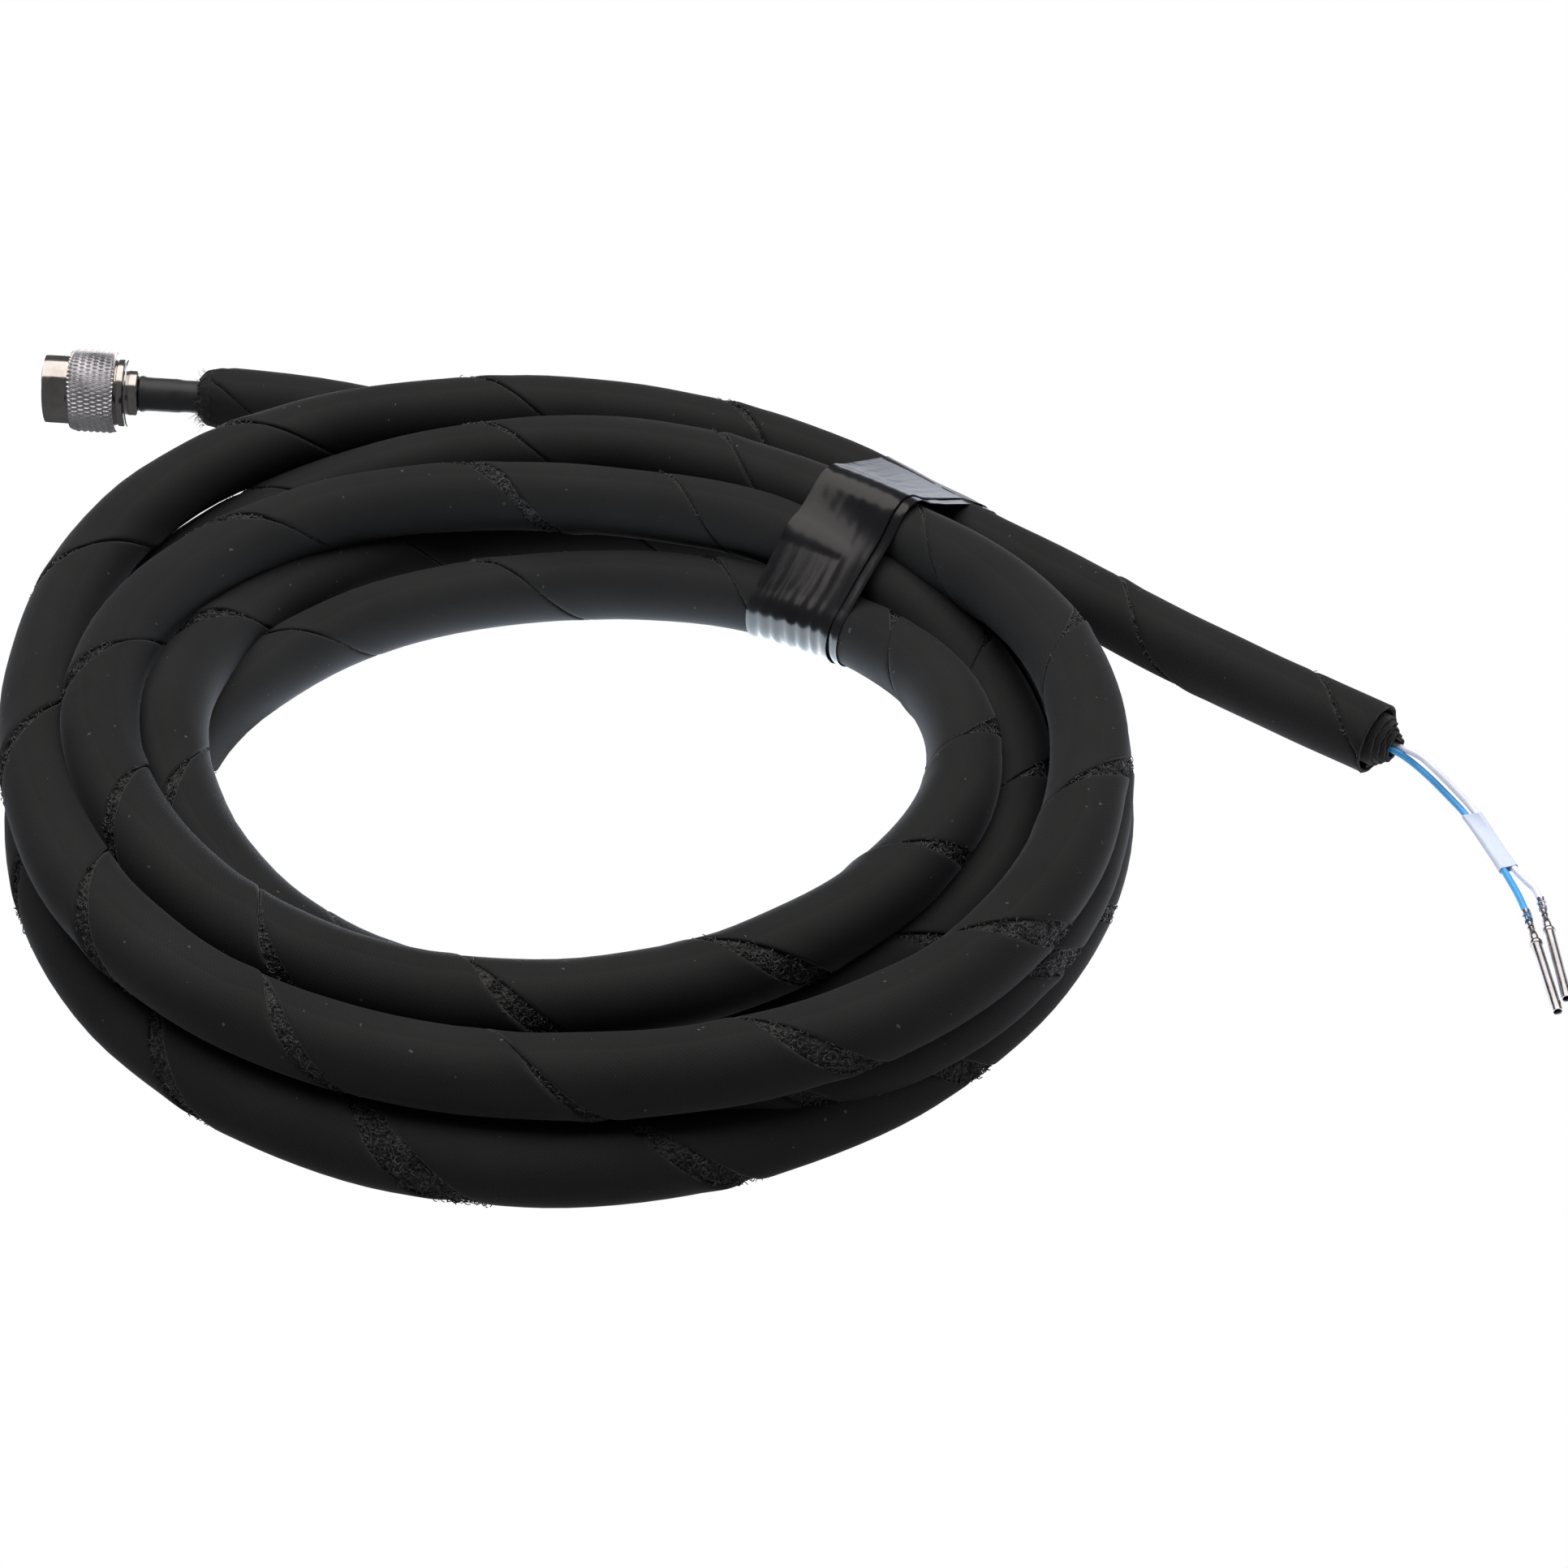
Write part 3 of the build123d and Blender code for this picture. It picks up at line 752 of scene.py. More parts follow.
# Tape: two turns pulled tight round the bundle.
TAPE_ANGLE = math.radians(48.5)
TAPE_WIDTH = 0.0155
TAPE_MIDDLE = 0.0665
TAPE_TURNS = {
    "tape_inner_turn": {"shift": -0.005, "layer": 0.00005, "seed": 61},
    "tape_outer_turn": {"shift": -0.003, "layer": 0.00032, "seed": 62},
}
TAPE_TILT = math.radians(4)
TAPE_THICKNESS = 0.00018
TAPE_LOWEST = 0.00002
TAPE_RIPPLES = 6.5
# Beyond this distance from the bundle's middle, the top of the tape runs askew.
TAPE_FOLD = 0.002
TAPE_SKEW = math.tan(math.radians(9))
TAPE_STEPS = 220
TAPE_COLUMNS = 44


def bundle_section(origin, across, normal):
    """Where the cable passes a plane: (distance along across, height) of each strand."""
    offset = (CABLE.points - origin) @ normal
    side = (CABLE.points - origin) @ across
    found = []
    for k in np.nonzero(offset[:-1] * offset[1:] < 0)[0]:
        share = offset[k] / (offset[k] - offset[k + 1])
        place = CABLE.points[k] + share * (CABLE.points[k + 1] - CABLE.points[k])
        reach = side[k] + share * (side[k + 1] - side[k])
        if -0.03 < reach < 0.03:
            found.append((reach, place[2]))
    return np.array(found)


def tight_outline(centres, steps):
    """Distance from the bundle's middle to a band pulled tight round its strands, by direction."""
    middle = (centres.min(0) + centres.max(0)) / 2
    normals = ring_angles(720)
    facing = np.stack([np.cos(normals), np.sin(normals)], axis=1)
    support = ((centres - middle) @ facing.T).max(0) + WRAP_R
    directions = ring_angles(steps)
    slant = np.cos(directions[:, None] - normals[None, :])
    reach = np.where(slant > 0.05, support[None, :] / np.maximum(slant, 0.05), 1.0)
    facing = np.stack([np.cos(directions), np.sin(directions)], axis=1)
    ahead = facing @ (centres - middle).T
    beside = WRAP_R**2 - ((centres - middle) ** 2).sum(1)[None, :] + ahead**2
    touched = np.where(beside > 0, ahead + np.sqrt(np.maximum(beside, 0)), 0).max(1)
    return middle, directions, reach.min(1), touched


def hump(directions, middle, width):
    """A smooth hump round one direction, in degrees from the outside over the top."""
    return np.exp(-(((directions - math.radians(middle)) / math.radians(width)) ** 2))


def make_tape(name, shift, layer, seed):
    radial = np.array([math.cos(TAPE_ANGLE), math.sin(TAPE_ANGLE), 0])
    forward = np.array([-radial[1], radial[0], 0])
    middle = radial * TAPE_MIDDLE + forward * shift
    across = radial * math.cos(TAPE_TILT) + forward * math.sin(TAPE_TILT)
    normal = forward * math.cos(TAPE_TILT) - radial * math.sin(TAPE_TILT)
    outer, inner = [], []
    for share in np.linspace(0, 1, TAPE_COLUMNS):
        origin = middle + normal * (share - 0.5) * TAPE_WIDTH
        centres = bundle_section(origin, across, normal)
        centre, directions, reach, touched = tight_outline(centres, TAPE_STEPS)
        fold = 0.0010 * hump(directions, 98, 20)
        sag = 0.0003 * hump(directions, 138, 15)
        reach = np.maximum(reach + fold - sag, touched + 0.0001)
        depth = 0.00013 * hump(directions, 203, 26)
        depth = depth + 0.00002 * hump(directions, 160, 45) + 0.00004 * hump(directions, 55, 35)
        uneven = 1.2 * wobble(directions, seed, 0.5)
        uneven = uneven + 1.1 * wobble(directions + share * TAPE_RIPPLES, seed + 3, 0.9)
        bands = np.sin(share * TURN * TAPE_RIPPLES + uneven + seed)
        slow = wobble(directions * 2 + share * 3, seed + 1, 1.6, 3)
        ripple = bands * depth + 0.00010 * slow
        edge = min(share, 1 - share) * TAPE_WIDTH
        curl = 0.00008 * math.exp(-edge / 0.0004)
        for surface, rise in ((outer, TAPE_THICKNESS + curl), (inner, curl)):
            out = reach + layer + rise + ripple
            x = centre[0] + out * np.cos(directions)
            z = np.maximum(centre[1] + out * np.sin(directions), TAPE_LOWEST)
            skew = TAPE_SKEW * np.maximum(x - TAPE_FOLD, 0) * (directions < math.pi)
            ring = origin + across * x[:, None] + normal * skew[:, None]
            surface.append(ring + np.outer(z, [0, 0, 1]))
    shape = Shape()
    shape.grid(np.stack(outer + inner[::-1], axis=1), wrap_rows=True, wrap_columns=True)
    piece = shape.piece(name, "cable", [TAPE], "pvc_tape", sharp=50)
    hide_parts(name)
    piece.name = name + "_skin"


# Open end of the wrap: fabric layers rolled round the jacket and pushed out in steps.
CORE_LAYERS = 4.6
CORE_STEP = 0.0009
CORE_BACK = -0.006
CORE_R = (0.00125, 0.0041)


def make_rolled_core():
    roll = np.linspace(0, 1, int(CORE_LAYERS * 44))[:, None]
    angle = roll * CORE_LAYERS * TURN
    inside = CORE_R[0] + (CORE_R[1] - CORE_R[0]) * roll
    stand = TAIL_CORE_LENGTH * (1 - roll) ** 0.8
    steps_out = np.round(stand / CORE_STEP) * CORE_STEP
    reach = 0.35 * stand + 0.65 * steps_out + 0.00016 * wobble(angle, 71, 0.5) + 0.0003
    section = [(1.0, 0.0), (1.0, 0.00042), (0.93, 0.00050), (0.6, 0.00048), (0.0, 0.00046), (0.0, 0.0)]
    columns = []
    for share, thick in section:
        along = CORE_BACK + (reach - CORE_BACK) * share
        pinch = 0.00012 * wobble(angle * 2 + share * 3, 72, 0.9) * share
        columns.append(CABLE.around(-along, angle, inside + thick + pinch))
    shape = Shape()
    shape.grid(np.stack([c[:, 0] for c in columns], axis=1), wrap_columns=True)
    piece = shape.piece("rolled_core", "cable", [EDGE], "hook_fabric")
    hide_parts("wrap_end_core")


# Start of the wrap beside the plug: gathered, with frayed yarn.
def at_plug(distance, angle, radius):
    """A point round the plug's axis, by its distance behind the nut's front face."""
    back = -np.array(PLUG_OUT)
    side = unit(np.cross(back, [0, 0, 1.0]))
    up = np.cross(side, back)
    angle, radius = np.asarray(angle)[..., None], np.asarray(radius)[..., None]
    place = np.array(PLUG_FRONT) - np.array(PLUG_OUT) * np.asarray(distance)[..., None]
    return place + radius * (up * np.cos(angle) + side * np.sin(angle))


def make_wrap_start():
    angles = ring_angles(120)[:, None]
    profile = [
        (1.4, 4.55), (0.2, 4.95), (-0.25, 5.0), (-0.7, 4.85), (-1.15, 4.55), (-1.55, 4.15),
        (-1.9, 3.7), (-2.15, 3.3), (-2.35, 3.06), (-2.1, 3.02), (-1.0, 3.02),
    ]
    distance, radius = (np.array(values)[None, :] * MM for values in zip(*profile))
    depth = np.array([0, 0.1, 0.3, 0.7, 1, 1, 1, 1, 1, 0.6, 0.2])[None, :]
    pleats = wobble(angles * 9, 81, 1.6) * 0.00016 + 0.00010 * np.sin(angles * 11)
    ragged = 0.00035 * wobble(angles * 7, 82, 0.9)
    front = np.array([0, 0, 0, 0, 0, 0.1, 0.4, 0.9, 1, 0.7, 0])[None, :]
    reach = WRAP_END + distance + ragged * front
    around, forwards = np.linspace(0, 36, 121)[:, None], np.linspace(0, 6, len(profile))[None, :]
    uv = np.stack(np.broadcast_arrays(around, forwards), axis=-1)
    shape = Shape()
    shape.grid(at_plug(reach, angles + 0 * distance, radius + pleats * depth), uv, wrap_rows=True)
    piece = shape.piece("gathered_wrap_start", "cable", [KNIT], "knit_fabric")
    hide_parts("wrap_start")
    return piece


def fibre(shape, points, thickness, slot=0):
    """A thin bent fibre through a few points, with a triangular section that tapers."""
    points = np.array(points, float)
    direction = unit(np.gradient(points, axis=0))
    across = unit(np.cross(direction, [0.3, 0.2, 0.93]))
    other = np.cross(direction, across)
    taper = np.linspace(1, 0.45, len(points))[:, None] * thickness
    thirds = (0, TURN / 3, 2 * TURN / 3)
    ring = [points + taper * (across * math.cos(a) + other * math.sin(a)) for a in thirds]
    shape.grid(np.stack(ring, axis=1), wrap_columns=True, slot=slot)
    shape.cap([r[0] for r in ring], slot)
    shape.cap([r[-1] for r in ring], slot)


def make_frayed_yarn():
    """Loose fibres at the gathered start, most and longest on its lower side."""
    rng = np.random.default_rng(91)
    shape = Shape()
    for _ in range(90):
        low = rng.random() < 0.55
        angle = rng.normal(math.radians(150), 0.55) if low else rng.uniform(0, TURN)
        place = WRAP_END - rng.uniform(0.0012, 0.0026)
        radius = np.interp(WRAP_END - place, [0.0012, 0.0026], [0.0051, 0.0031])
        length = rng.uniform(0.0008, 0.0026 if low else 0.0013)
        points = []
        lean = rng.uniform(-0.5, 0.9)
        curl = rng.choice([-1, 1]) * rng.uniform(1.2, 4.2)
        for t in np.linspace(0, 1, 9):
            turn = curl * t
            points.append(at_plug(
                place - length * (0.35 * t + 0.3 * math.sin(turn) / abs(curl)),
                angle + lean * t * length / radius + 0.05 * math.sin(turn * 2),
                radius + length * (0.4 * t + 0.5 * (1 - math.cos(turn)) / curl),
            ))
        fibre(shape, points, rng.uniform(0.00003, 0.000055), slot=int(low and rng.random() < 0.45))
    return shape.piece("frayed_yarn", "cable", [YARN, PALE_YARN], "hook_fabric")


SLEEVE_FRONT = 0.0164


def make_heat_shrink():
    """The sleeve: a bulged front rim, then slightly uneven, fitted to what is under it."""
    profile = [
        (0.05, 2.62), (0.0, 2.85), (0.03, 3.08), (0.18, 3.20), (0.5, 3.22), (0.85, 3.10), (1.2, 2.99),
        (1.7, 2.96), (2.6, 2.97), (3.8, 2.99), (5.2, 2.98), (6.4, 2.97), (7.0, 2.93), (7.5, 2.86),
        (8.2, 2.84), (9.4, 2.85), (11.0, 2.85), (12.9, 2.85), (12.9, 2.60),
    ]
    distance, radius = (np.array(values)[None, :] * MM for values in zip(*profile))
    angles = ring_angles(64)[:, None]
    uneven = 0.00003 * skin(distance * 8, angles * 2) * (distance > 0.0001)
    shape = Shape()
    shape.grid(at_plug(SLEEVE_FRONT + distance, angles + 0 * distance, radius + uneven), wrap_rows=True)
    piece = shape.piece("shrunk_sleeve", "cable", [SHRINK], "heat_shrink", sharp=50)
    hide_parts("heat_shrink_sleeve")
    return piece


# Coupling nut: knurl outside, thread inside. The knurl has KNURL_ROUND grooves each way round, which
# cross every KNURL_DIAGONAL along the nut, and KNURL_STEPS columns from groove to groove.
KNURL_R = 0.0073
KNURL_ROUND = 56
KNURL_DIAGONAL = 0.0022
KNURL_DEPTH = 0.0005
KNURL_SLOPE = 0.88
KNURL_START = 0.00475
KNURL_STEPS = 8
KNURL_ROWS = 56
NUT_COLUMNS = KNURL_ROUND * KNURL_STEPS
NUT_ANGLES = np.arange(NUT_COLUMNS) * TURN / NUT_COLUMNS
THREAD_R = 0.0051
THREAD_PITCH = 0.0254 / 28
THREAD_DEPTH = 0.00042
THREAD_ROWS = 48


def triangle_wave(x):
    return 1 - np.abs((x % 1.0) * 2 - 1)


def knurl_row(row):
    """One ring of the knurl. Odd rings are turned half a step, so edges run along the grooves."""
    across = row / (2 * KNURL_STEPS)
    turned = (np.arange(NUT_COLUMNS) + 0.5 * (row % 2)) / KNURL_STEPS
    grooves = np.minimum(triangle_wave(turned + across), triangle_wave(turned - across))
    raised = np.minimum(grooves, KNURL_SLOPE) / KNURL_SLOPE
    ends = min(1.0, 0.35 + row / 5, 0.35 + (KNURL_ROWS - row) / 5)
    out = KNURL_R - KNURL_DEPTH * (1 - raised * ends) - (1 - ends) * 0.0001
    distance = KNURL_START + across * KNURL_DIAGONAL
    return at_plug(np.full(NUT_COLUMNS, distance), turned * TURN / KNURL_ROUND, out)


def knurl_faces():
    """Diamonds between every other ring, with triangles at both ends."""
    column = np.arange(NUT_COLUMNS)
    after = (column + 1) % NUT_COLUMNS
    last = KNURL_ROWS * NUT_COLUMNS
    faces = np.stack([column, after, NUT_COLUMNS + column], 1).tolist()
    faces += np.stack([last + after, last + column, last - NUT_COLUMNS + column], 1).tolist()
    for row in range(KNURL_ROWS - 1):
        near = row * NUT_COLUMNS
        middle = near + NUT_COLUMNS
        left = (column - 1 + row % 2) % NUT_COLUMNS
        right = (left + 1) % NUT_COLUMNS
        far = middle + NUT_COLUMNS
        faces += np.stack([near + column, middle + right, far + column, middle + left], 1).tolist()
    return faces


def nut_row(radius, distance):
    """One plain ring of the nut, in millimetres."""
    return at_plug(np.full(NUT_COLUMNS, distance * MM), NUT_ANGLES, np.full(NUT_COLUMNS, radius * MM))


def thread_row(distance):
    """One ring of the thread, which fades out at both ends. The distance is in millimetres."""
    turned = distance * MM / THREAD_PITCH - NUT_ANGLES / TURN
    ends = max(min(1.0, (distance - 0.6) / 0.6, (6.1 - distance) / 0.6), 0.05)
    out = THREAD_R + THREAD_DEPTH * (1 - triangle_wave(turned) * ends)
    return at_plug(np.full(NUT_COLUMNS, distance * MM), NUT_ANGLES, out)


def make_coupling_nut():
    """Rings from the knurl's back, round the nut's back and through its inside to its front."""
    back = [
        (6.84, 12.55), (6.5, 12.60), (5.85, 12.60), (5.82, 12.72), (5.9, 12.85), (6.0, 12.95),
        (6.02, 13.2), (6.02, 13.7), (5.95, 13.95), (5.78, 14.08), (5.5, 14.1), (3.95, 14.1),
        (3.95, 13.25), (4.5, 13.25), (4.5, 12.45), (3.95, 12.45), (3.95, 11.5), (5.6, 11.5),
        (5.6, 6.4), (5.35, 6.2),
    ]
    front = [
        (5.32, 0.55), (5.40, 0.25), (5.45, 0.0), (5.72, 0.0), (5.92, 0.03), (6.06, 0.14), (6.10, 0.32),
        (6.10, 1.2), (6.10, 2.6), (6.10, 4.0), (6.08, 4.35), (6.02, 4.45), (6.02, 4.50), (6.6, 4.50),
        (6.84, 4.55),
    ]
    grid = [knurl_row(KNURL_ROWS)] + [nut_row(*place) for place in back]
    grid += [thread_row(6.05 - 5.35 * k / (THREAD_ROWS - 1)) for k in range(THREAD_ROWS)]
    grid += [nut_row(*place) for place in front] + [knurl_row(0)]
    shape = Shape()
    shape.grid(np.array(grid), wrap_columns=True)
    rows = np.array([knurl_row(row) for row in range(KNURL_ROWS + 1)])
    faces = knurl_faces()
    shape.add(rows, faces, np.zeros((sum(len(face) for face in faces), 2)), 1)
    piece = shape.piece("knurled_nut", "nut", [NICKEL, KNURL_NICKEL_PAINTED_LIGHTER], "nickel", sharp=28, merge=1e-7)
    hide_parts("coupling_nut")
    return piece


# Wires, crimps, barrels and label.
def make_wire(colour, route, paint):
    curve = route_curve(f"{colour}_wire", route, WIRE_D)
    curve.data.materials.append(paint)
    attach(curve, "cable")
    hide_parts(f"{colour}_insulation")
    return curve


class ContactFrame:
    """Places round a contact's axis: distance from its back end, angle from the top, radius."""

    def __init__(self, colour):
        back, along = contact_axis(colour)
        self.back = np.array(back)
        self.along = np.array(along)
        self.up = np.array([0, 0, 1.0])
        self.side = np.cross(self.along, self.up)

    def at(self, distance, angle, radius):
        distance, angle, radius = np.broadcast_arrays(distance, angle, radius)
        out = self.up * np.cos(angle)[..., None] + self.side * np.sin(angle)[..., None]
        return self.back + self.along * distance[..., None] + out * radius[..., None]


# The four crimps of a contact, from its back: start, end, inside radius, wall, half of the opening
# at the top in radians, and how far its wings flare.
CRIMPS = [
    (0.0, 0.0010, 0.00055, 0.00013, 0.10, 0.00007),
    (0.0013, 0.0022, 0.00055, 0.00013, 0.14, 0.00022),
    (0.0026, 0.0035, 0.00040, 0.00014, 0.08, 0.00005),
    (0.0038, 0.0048, 0.00040, 0.00014, 0.12, 0.00012),
]
CRIMP_LIP = 0.00003


def add_crimp(shape, place, start, end, inner, wall, opening, flare, seed):
    """A stamped barrel curled round a wire, whose two wings meet at the top."""
    length, sweep = np.meshgrid(np.linspace(0, 1, 9), np.linspace(-1, 1, 41), indexing="ij")
    angle = math.pi + sweep * (math.pi - opening)
    near_end = smoothstep((np.abs(sweep) - 0.8) / 0.2)
    mouth = CRIMP_LIP * (np.exp(-length / 0.12) + np.exp(-(1 - length) / 0.12))
    ridges = 0.00003 * np.sin(length * TURN * 3) * (1 - near_end)
    radius = inner + flare * near_end + mouth + ridges + 0.00001 * wobble(sweep * 4 + length, seed, 0.7)
    distance = start + (end - start) * length + 0.00005 * near_end * np.sin(length * 9 + seed)
    outer = place.at(distance, angle, radius + wall)
    inside = place.at(distance, angle, radius)
    shape.grid(np.concatenate([outer, inside[:, ::-1]], axis=1), wrap_columns=True)
    for row in (0, -1):
        for k in range(length.shape[1] - 1):
            shape.cap([outer[row, k], outer[row, k + 1], inside[row, k + 1], inside[row, k]])


def turned_about(place, profile, angles, seam=0.0):
    """A closed ring turned about a contact's axis from (distance, radius) in millimetres."""
    grid = []
    for distance, radius in profile:
        grid.append(place.at(distance * MM, angles, radius * MM - seam * (radius > 0.75)))
    shape = Shape()
    shape.grid(np.array(grid), wrap_rows=True, wrap_columns=True)
    return shape


RAIL_LENGTH = 0.0064
RAIL_WALL = 0.00012


def add_rail(shape, place):
    """The open channel under the crimps, which widens towards the barrel."""
    length, sweep = np.meshgrid(np.linspace(0, 1, 24), np.linspace(-1, 1, 13), indexing="ij")
    half = math.radians(62) + math.radians(30) * smoothstep((length - 0.75) / 0.2)
    narrowed = 0.00018 * smoothstep((length - 0.34) / 0.12)
    radius = 0.00062 - narrowed + 0.00012 * smoothstep((length - 0.8) / 0.2)
    outer = place.at(RAIL_LENGTH * length, math.pi + sweep * half, radius)
    inner = place.at(RAIL_LENGTH * length, math.pi + sweep * half, radius - RAIL_WALL)
    shape.grid(np.concatenate([outer, inner[:, ::-1]], axis=1), wrap_columns=True)
    for row in (0, -1):
        shape.cap(np.concatenate([outer[row], inner[row][::-1]]))


def make_barrel(colour, place):
    """The long round barrel with a ring at its back and a fine seam along it."""
    profile = [
        (6.40, 0.70), (6.38, 0.84), (6.42, 0.93), (6.52, 0.97), (6.95, 0.97), (7.05, 0.93), (7.09, 0.84),
        (7.12, 0.79), (7.3, 0.78), (10.0, 0.78), (14.0, 0.78), (18.0, 0.78), (20.3, 0.78), (20.5, 0.76),
        (20.6, 0.71), (20.6, 0.60), (20.4, 0.52), (19.8, 0.50), (8.0, 0.50), (6.6, 0.50),
    ]
    angles = ring_angles(64)
    aside = np.abs(angles - 5.4)
    seam = 0.00005 * np.exp(-((np.minimum(aside, TURN - aside) / 0.07) ** 2))
    shape = turned_about(place, profile, angles, seam)
    hood = shape.piece(f"{colour}_barrel", "cable", [STEEL], "contact_steel", sharp=35)
    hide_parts(f"{colour}_hood")
    return hood


def make_contact(colour):
    """The stamped terminal: crimps on a rail, a round waist, and its ringed barrel."""
    place = ContactFrame(colour)
    shape = Shape()
    for k, crimp in enumerate(CRIMPS):
        add_crimp(shape, place, *crimp, seed=k + 1)
    add_rail(shape, place)
    terminal = shape.piece(f"{colour}_crimp", "cable", [STEEL], "contact_steel", sharp=45, merge=1e-7)
    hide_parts(f"{colour}_terminal")
    collar = turned_about(place, [
        (4.95, 0.46), (4.95, 0.62), (5.05, 0.66), (5.8, 0.66), (5.9, 0.60), (6.35, 0.60), (6.42, 0.62),
        (6.42, 0.50), (5.0, 0.46),
    ], ring_angles(40))
    waist = collar.piece(f"{colour}_contact_waist", "cable", [STEEL], "contact_steel", sharp=35)
    return [terminal, waist, make_barrel(colour, place)]


STRAND_R = 0.000095
STRAND_RING = 0.00019


def make_strands(colour):
    """Seven bare strands that show between the crimps."""
    place = ContactFrame(colour)
    shape = Shape()
    sides = ring_angles(10)
    for k in range(7):
        ring = 0.0 if k == 6 else STRAND_RING
        rows = []
        for distance in np.linspace(0.0015, 0.00495 + 0.00008 * math.sin(k * 2.4), 16):
            centre = place.at(distance, k * TURN / 6 + distance * 900, ring)
            rows.append([
                centre + STRAND_R * (place.up * math.cos(a) + place.side * math.sin(a)) for a in sides
            ])
        shape.grid(np.array(rows), wrap_columns=True)
        shape.cap(rows[0])
        shape.cap(rows[-1])
    piece = shape.piece(f"{colour}_strands", "cable", [COPPER], "bare_wire", sharp=60)
    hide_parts(f"{colour}_conductor")
    return piece


# The sleeve's start and end along the blue wire. The white wire is longer up to there.
LABEL_SPAN = (0.0196, 0.0321)
LABEL_LEAD = (0.0013, 0.0002)
LABEL_FLAT = 0.25


def make_label(blue, white):
    """A thin sleeve closed over both wires, pulled in slightly between them."""
    angles = ring_angles(48)
    sideways, upwards = np.cos(angles), np.sin(angles)
    waist = 1 - 0.22 * np.exp(-((sideways / 0.30) ** 2))
    rows = []
    for layer, order in ((0.00020, 1), (0.00004, -1)):
        rings = []
        for share in np.linspace(0, 1, 40):
            reach = LABEL_SPAN[0] + (LABEL_SPAN[1] - LABEL_SPAN[0]) * share
            lead = LABEL_LEAD[0] - (LABEL_LEAD[0] - LABEL_LEAD[1]) * share
            by_blue, along_blue = blue.frame(reach)[:2]
            by_white, along_white = white.frame(reach + lead)[:2]
            half = np.linalg.norm(by_white - by_blue) / 2
            across = unit(by_white - by_blue)
            along = unit(along_blue + along_white)
            over = unit(np.cross(along, across))
            side = np.cross(over, along)
            puff = 1 + 0.03 * wobble(share * 3 + angles * 0.3, 95, 0.5)
            radius = WIRE_D / 2 + layer
            rings.append(
                (by_blue + by_white) / 2
                + across * (np.clip(sideways / LABEL_FLAT, -1, 1) * half)[:, None]
                + side * (sideways * radius)[:, None]
                + over * (upwards * radius * waist * puff)[:, None]
            )
        rows += rings[::order]
    shape = Shape()
    shape.grid(np.array(rows), wrap_rows=True, wrap_columns=True)
    piece = shape.piece("marker_sleeve", "cable", [LABEL], "label", sharp=60)
    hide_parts("label_sleeve")


# The finished material of each CAD node that is carried over.
CARRIED = {
    "plug_body": NICKEL,
    "retaining_ring": SPRING,
    "spring_washer": SPRING,
    "gasket": SILICONE,
    "dielectric": PTFE,
    "center_pin": GOLD,
    "crimp_ferrule": NICKEL,
    "lead_jacket": JACKET,
    "tail_jacket": JACKET,
    "lead_braid": BRAID,
    "tail_braid": BRAID,
    "lead_core_white": WHITE,
    "lead_core_blue": BLUE,
}


# Stage: a white floor that glows, and what shows in gloss: parts of the floor and the softbox.
STAGE = [
    ("floor", (-30, -30), (30, 30), -0.0002, (1.0, 1.0, 1.0)),
    ("gloss_behind_plug", (-0.30, 0.1012), (0.03, 1.0), -0.0001, (1.7, 1.85, 2.0)),
    ("gloss_behind_coil", (0.03, 0.06), (0.6, 1.0), -0.0001, (0.95, 1.0, 1.12)),
    ("gloss_by_contacts", (0.08, -0.12), (0.30, 0.02), -0.0001, (1.25, 1.25, 1.35)),
    ("gloss_in_eye", (-0.045, -0.045), (0.045, 0.045), -0.0001, (4.0, 4.5, 5.0)),
    ("gloss_overhead", (-0.75, -0.17), (0.75, 1.03), 0.9, (1.50, 1.40, 1.34)),
]
WORLD_LIGHT = 0.09
SOFTBOX_PLACE = (0.0, 0.42, 0.9)
SOFTBOX_SIZE = (1.5, 1.22)
SOFTBOX_POWER = 22.5


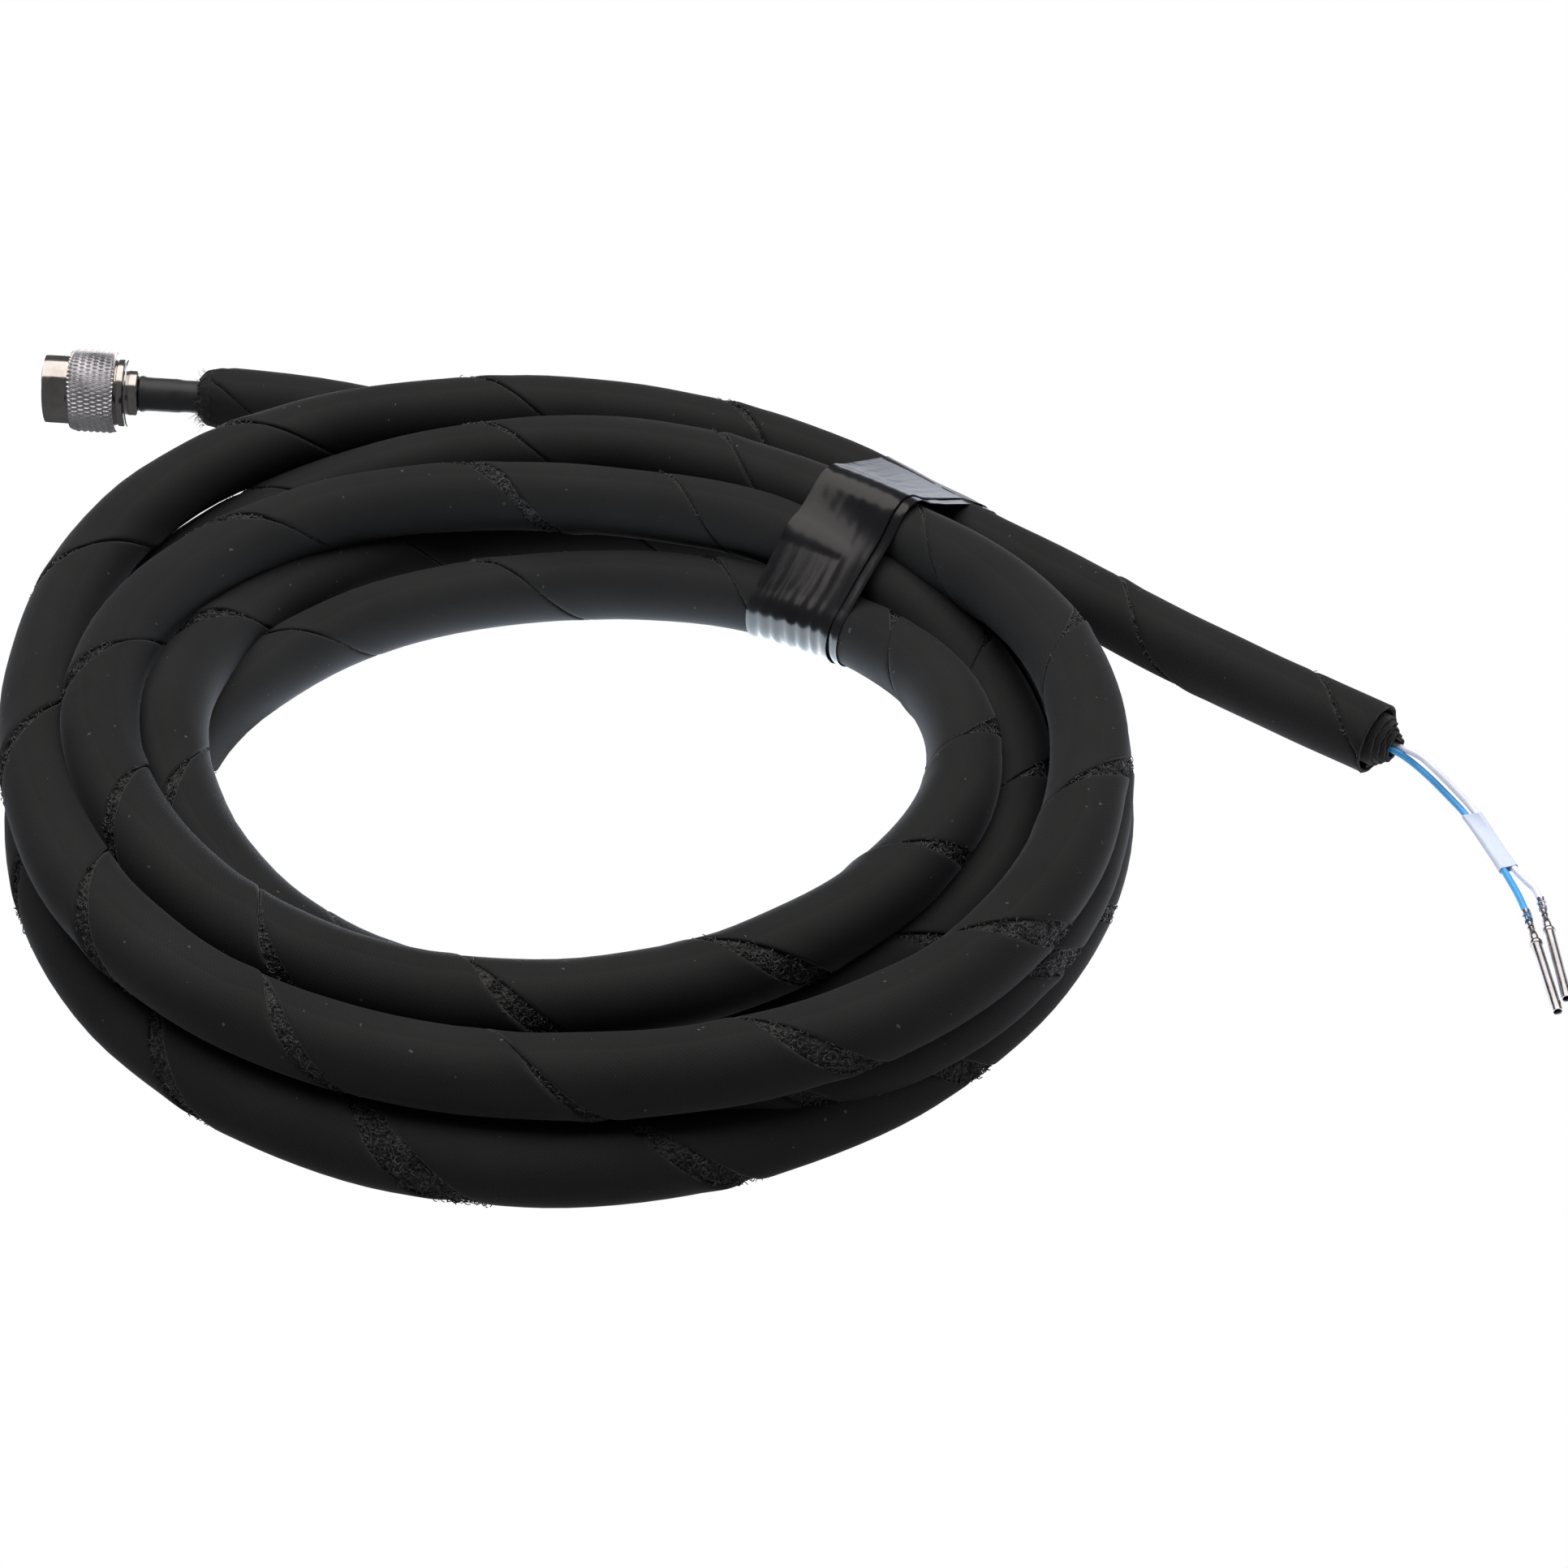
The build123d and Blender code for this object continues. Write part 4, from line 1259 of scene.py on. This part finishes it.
def make_stage():
    for name, low, high, height, glow in STAGE:
        paint = Paint(name, (0.0, 0.0, 0.0), 1.0, Specular_IOR_Level=0.0)
        paint.set("Emission Color", (*(g / max(glow) for g in glow), 1))
        paint.set("Emission Strength", max(glow))
        mesh = bpy.data.meshes.new(name)
        left, front = low
        right, back = high
        corners = [(left, front, 0), (right, front, 0), (right, back, 0), (left, back, 0)]
        mesh.from_pydata(corners, [], [(0, 1, 2, 3)])
        mesh.materials.append(paint.material)
        made = add_object(name, mesh)
        made.location.z = height
        in_gloss = name != "floor"
        made.visible_glossy = in_gloss
        made.visible_camera = not in_gloss
        made.visible_diffuse = not in_gloss
        made.visible_shadow = not in_gloss


def make_world():
    world = bpy.data.worlds.new("studio")
    bpy.context.scene.world = world
    world.use_nodes = True
    back = world.node_tree.nodes["Background"]
    back.inputs["Color"].default_value = (0.96, 0.98, 1.0, 1)
    back.inputs["Strength"].default_value = WORLD_LIGHT


def make_softbox():
    """The overhead light, which points straight down and isn't seen in gloss."""
    light = bpy.data.lights.new("overhead", "AREA")
    light.shape = "RECTANGLE"
    light.size, light.size_y = SOFTBOX_SIZE
    light.energy = SOFTBOX_POWER
    light.color = (1.0, 0.985, 0.965)
    made = add_object("overhead", light)
    made.location = SOFTBOX_PLACE
    made.visible_glossy = False


def main():
    bpy.context.scene.view_settings.view_transform = "Standard"
    outer_wrap = make_outer_wrap()
    make_under_wrap()
    make_seam_loops()
    for name, facts in TAPE_TURNS.items():
        make_tape(name, **facts)
    make_rolled_core()
    wrap_start = make_wrap_start()
    frayed = make_frayed_yarn()
    sleeve = make_heat_shrink()
    nut = make_coupling_nut()
    lines = {}
    for colour, route, paint in (("blue", BLUE_ROUTE, BLUE), ("white", WHITE_ROUTE, WHITE)):
        wire = make_wire(colour, route, paint)
        lines[colour] = line_through(route)
        contact = make_contact(colour)
        strands = make_strands(colour)
    make_label(lines["blue"], lines["white"])
    for node, paint in CARRIED.items():
        for place in frame["nodes"][node].material_slots:
            place.material = paint
    make_stage()
    make_world()
    make_softbox()


main()
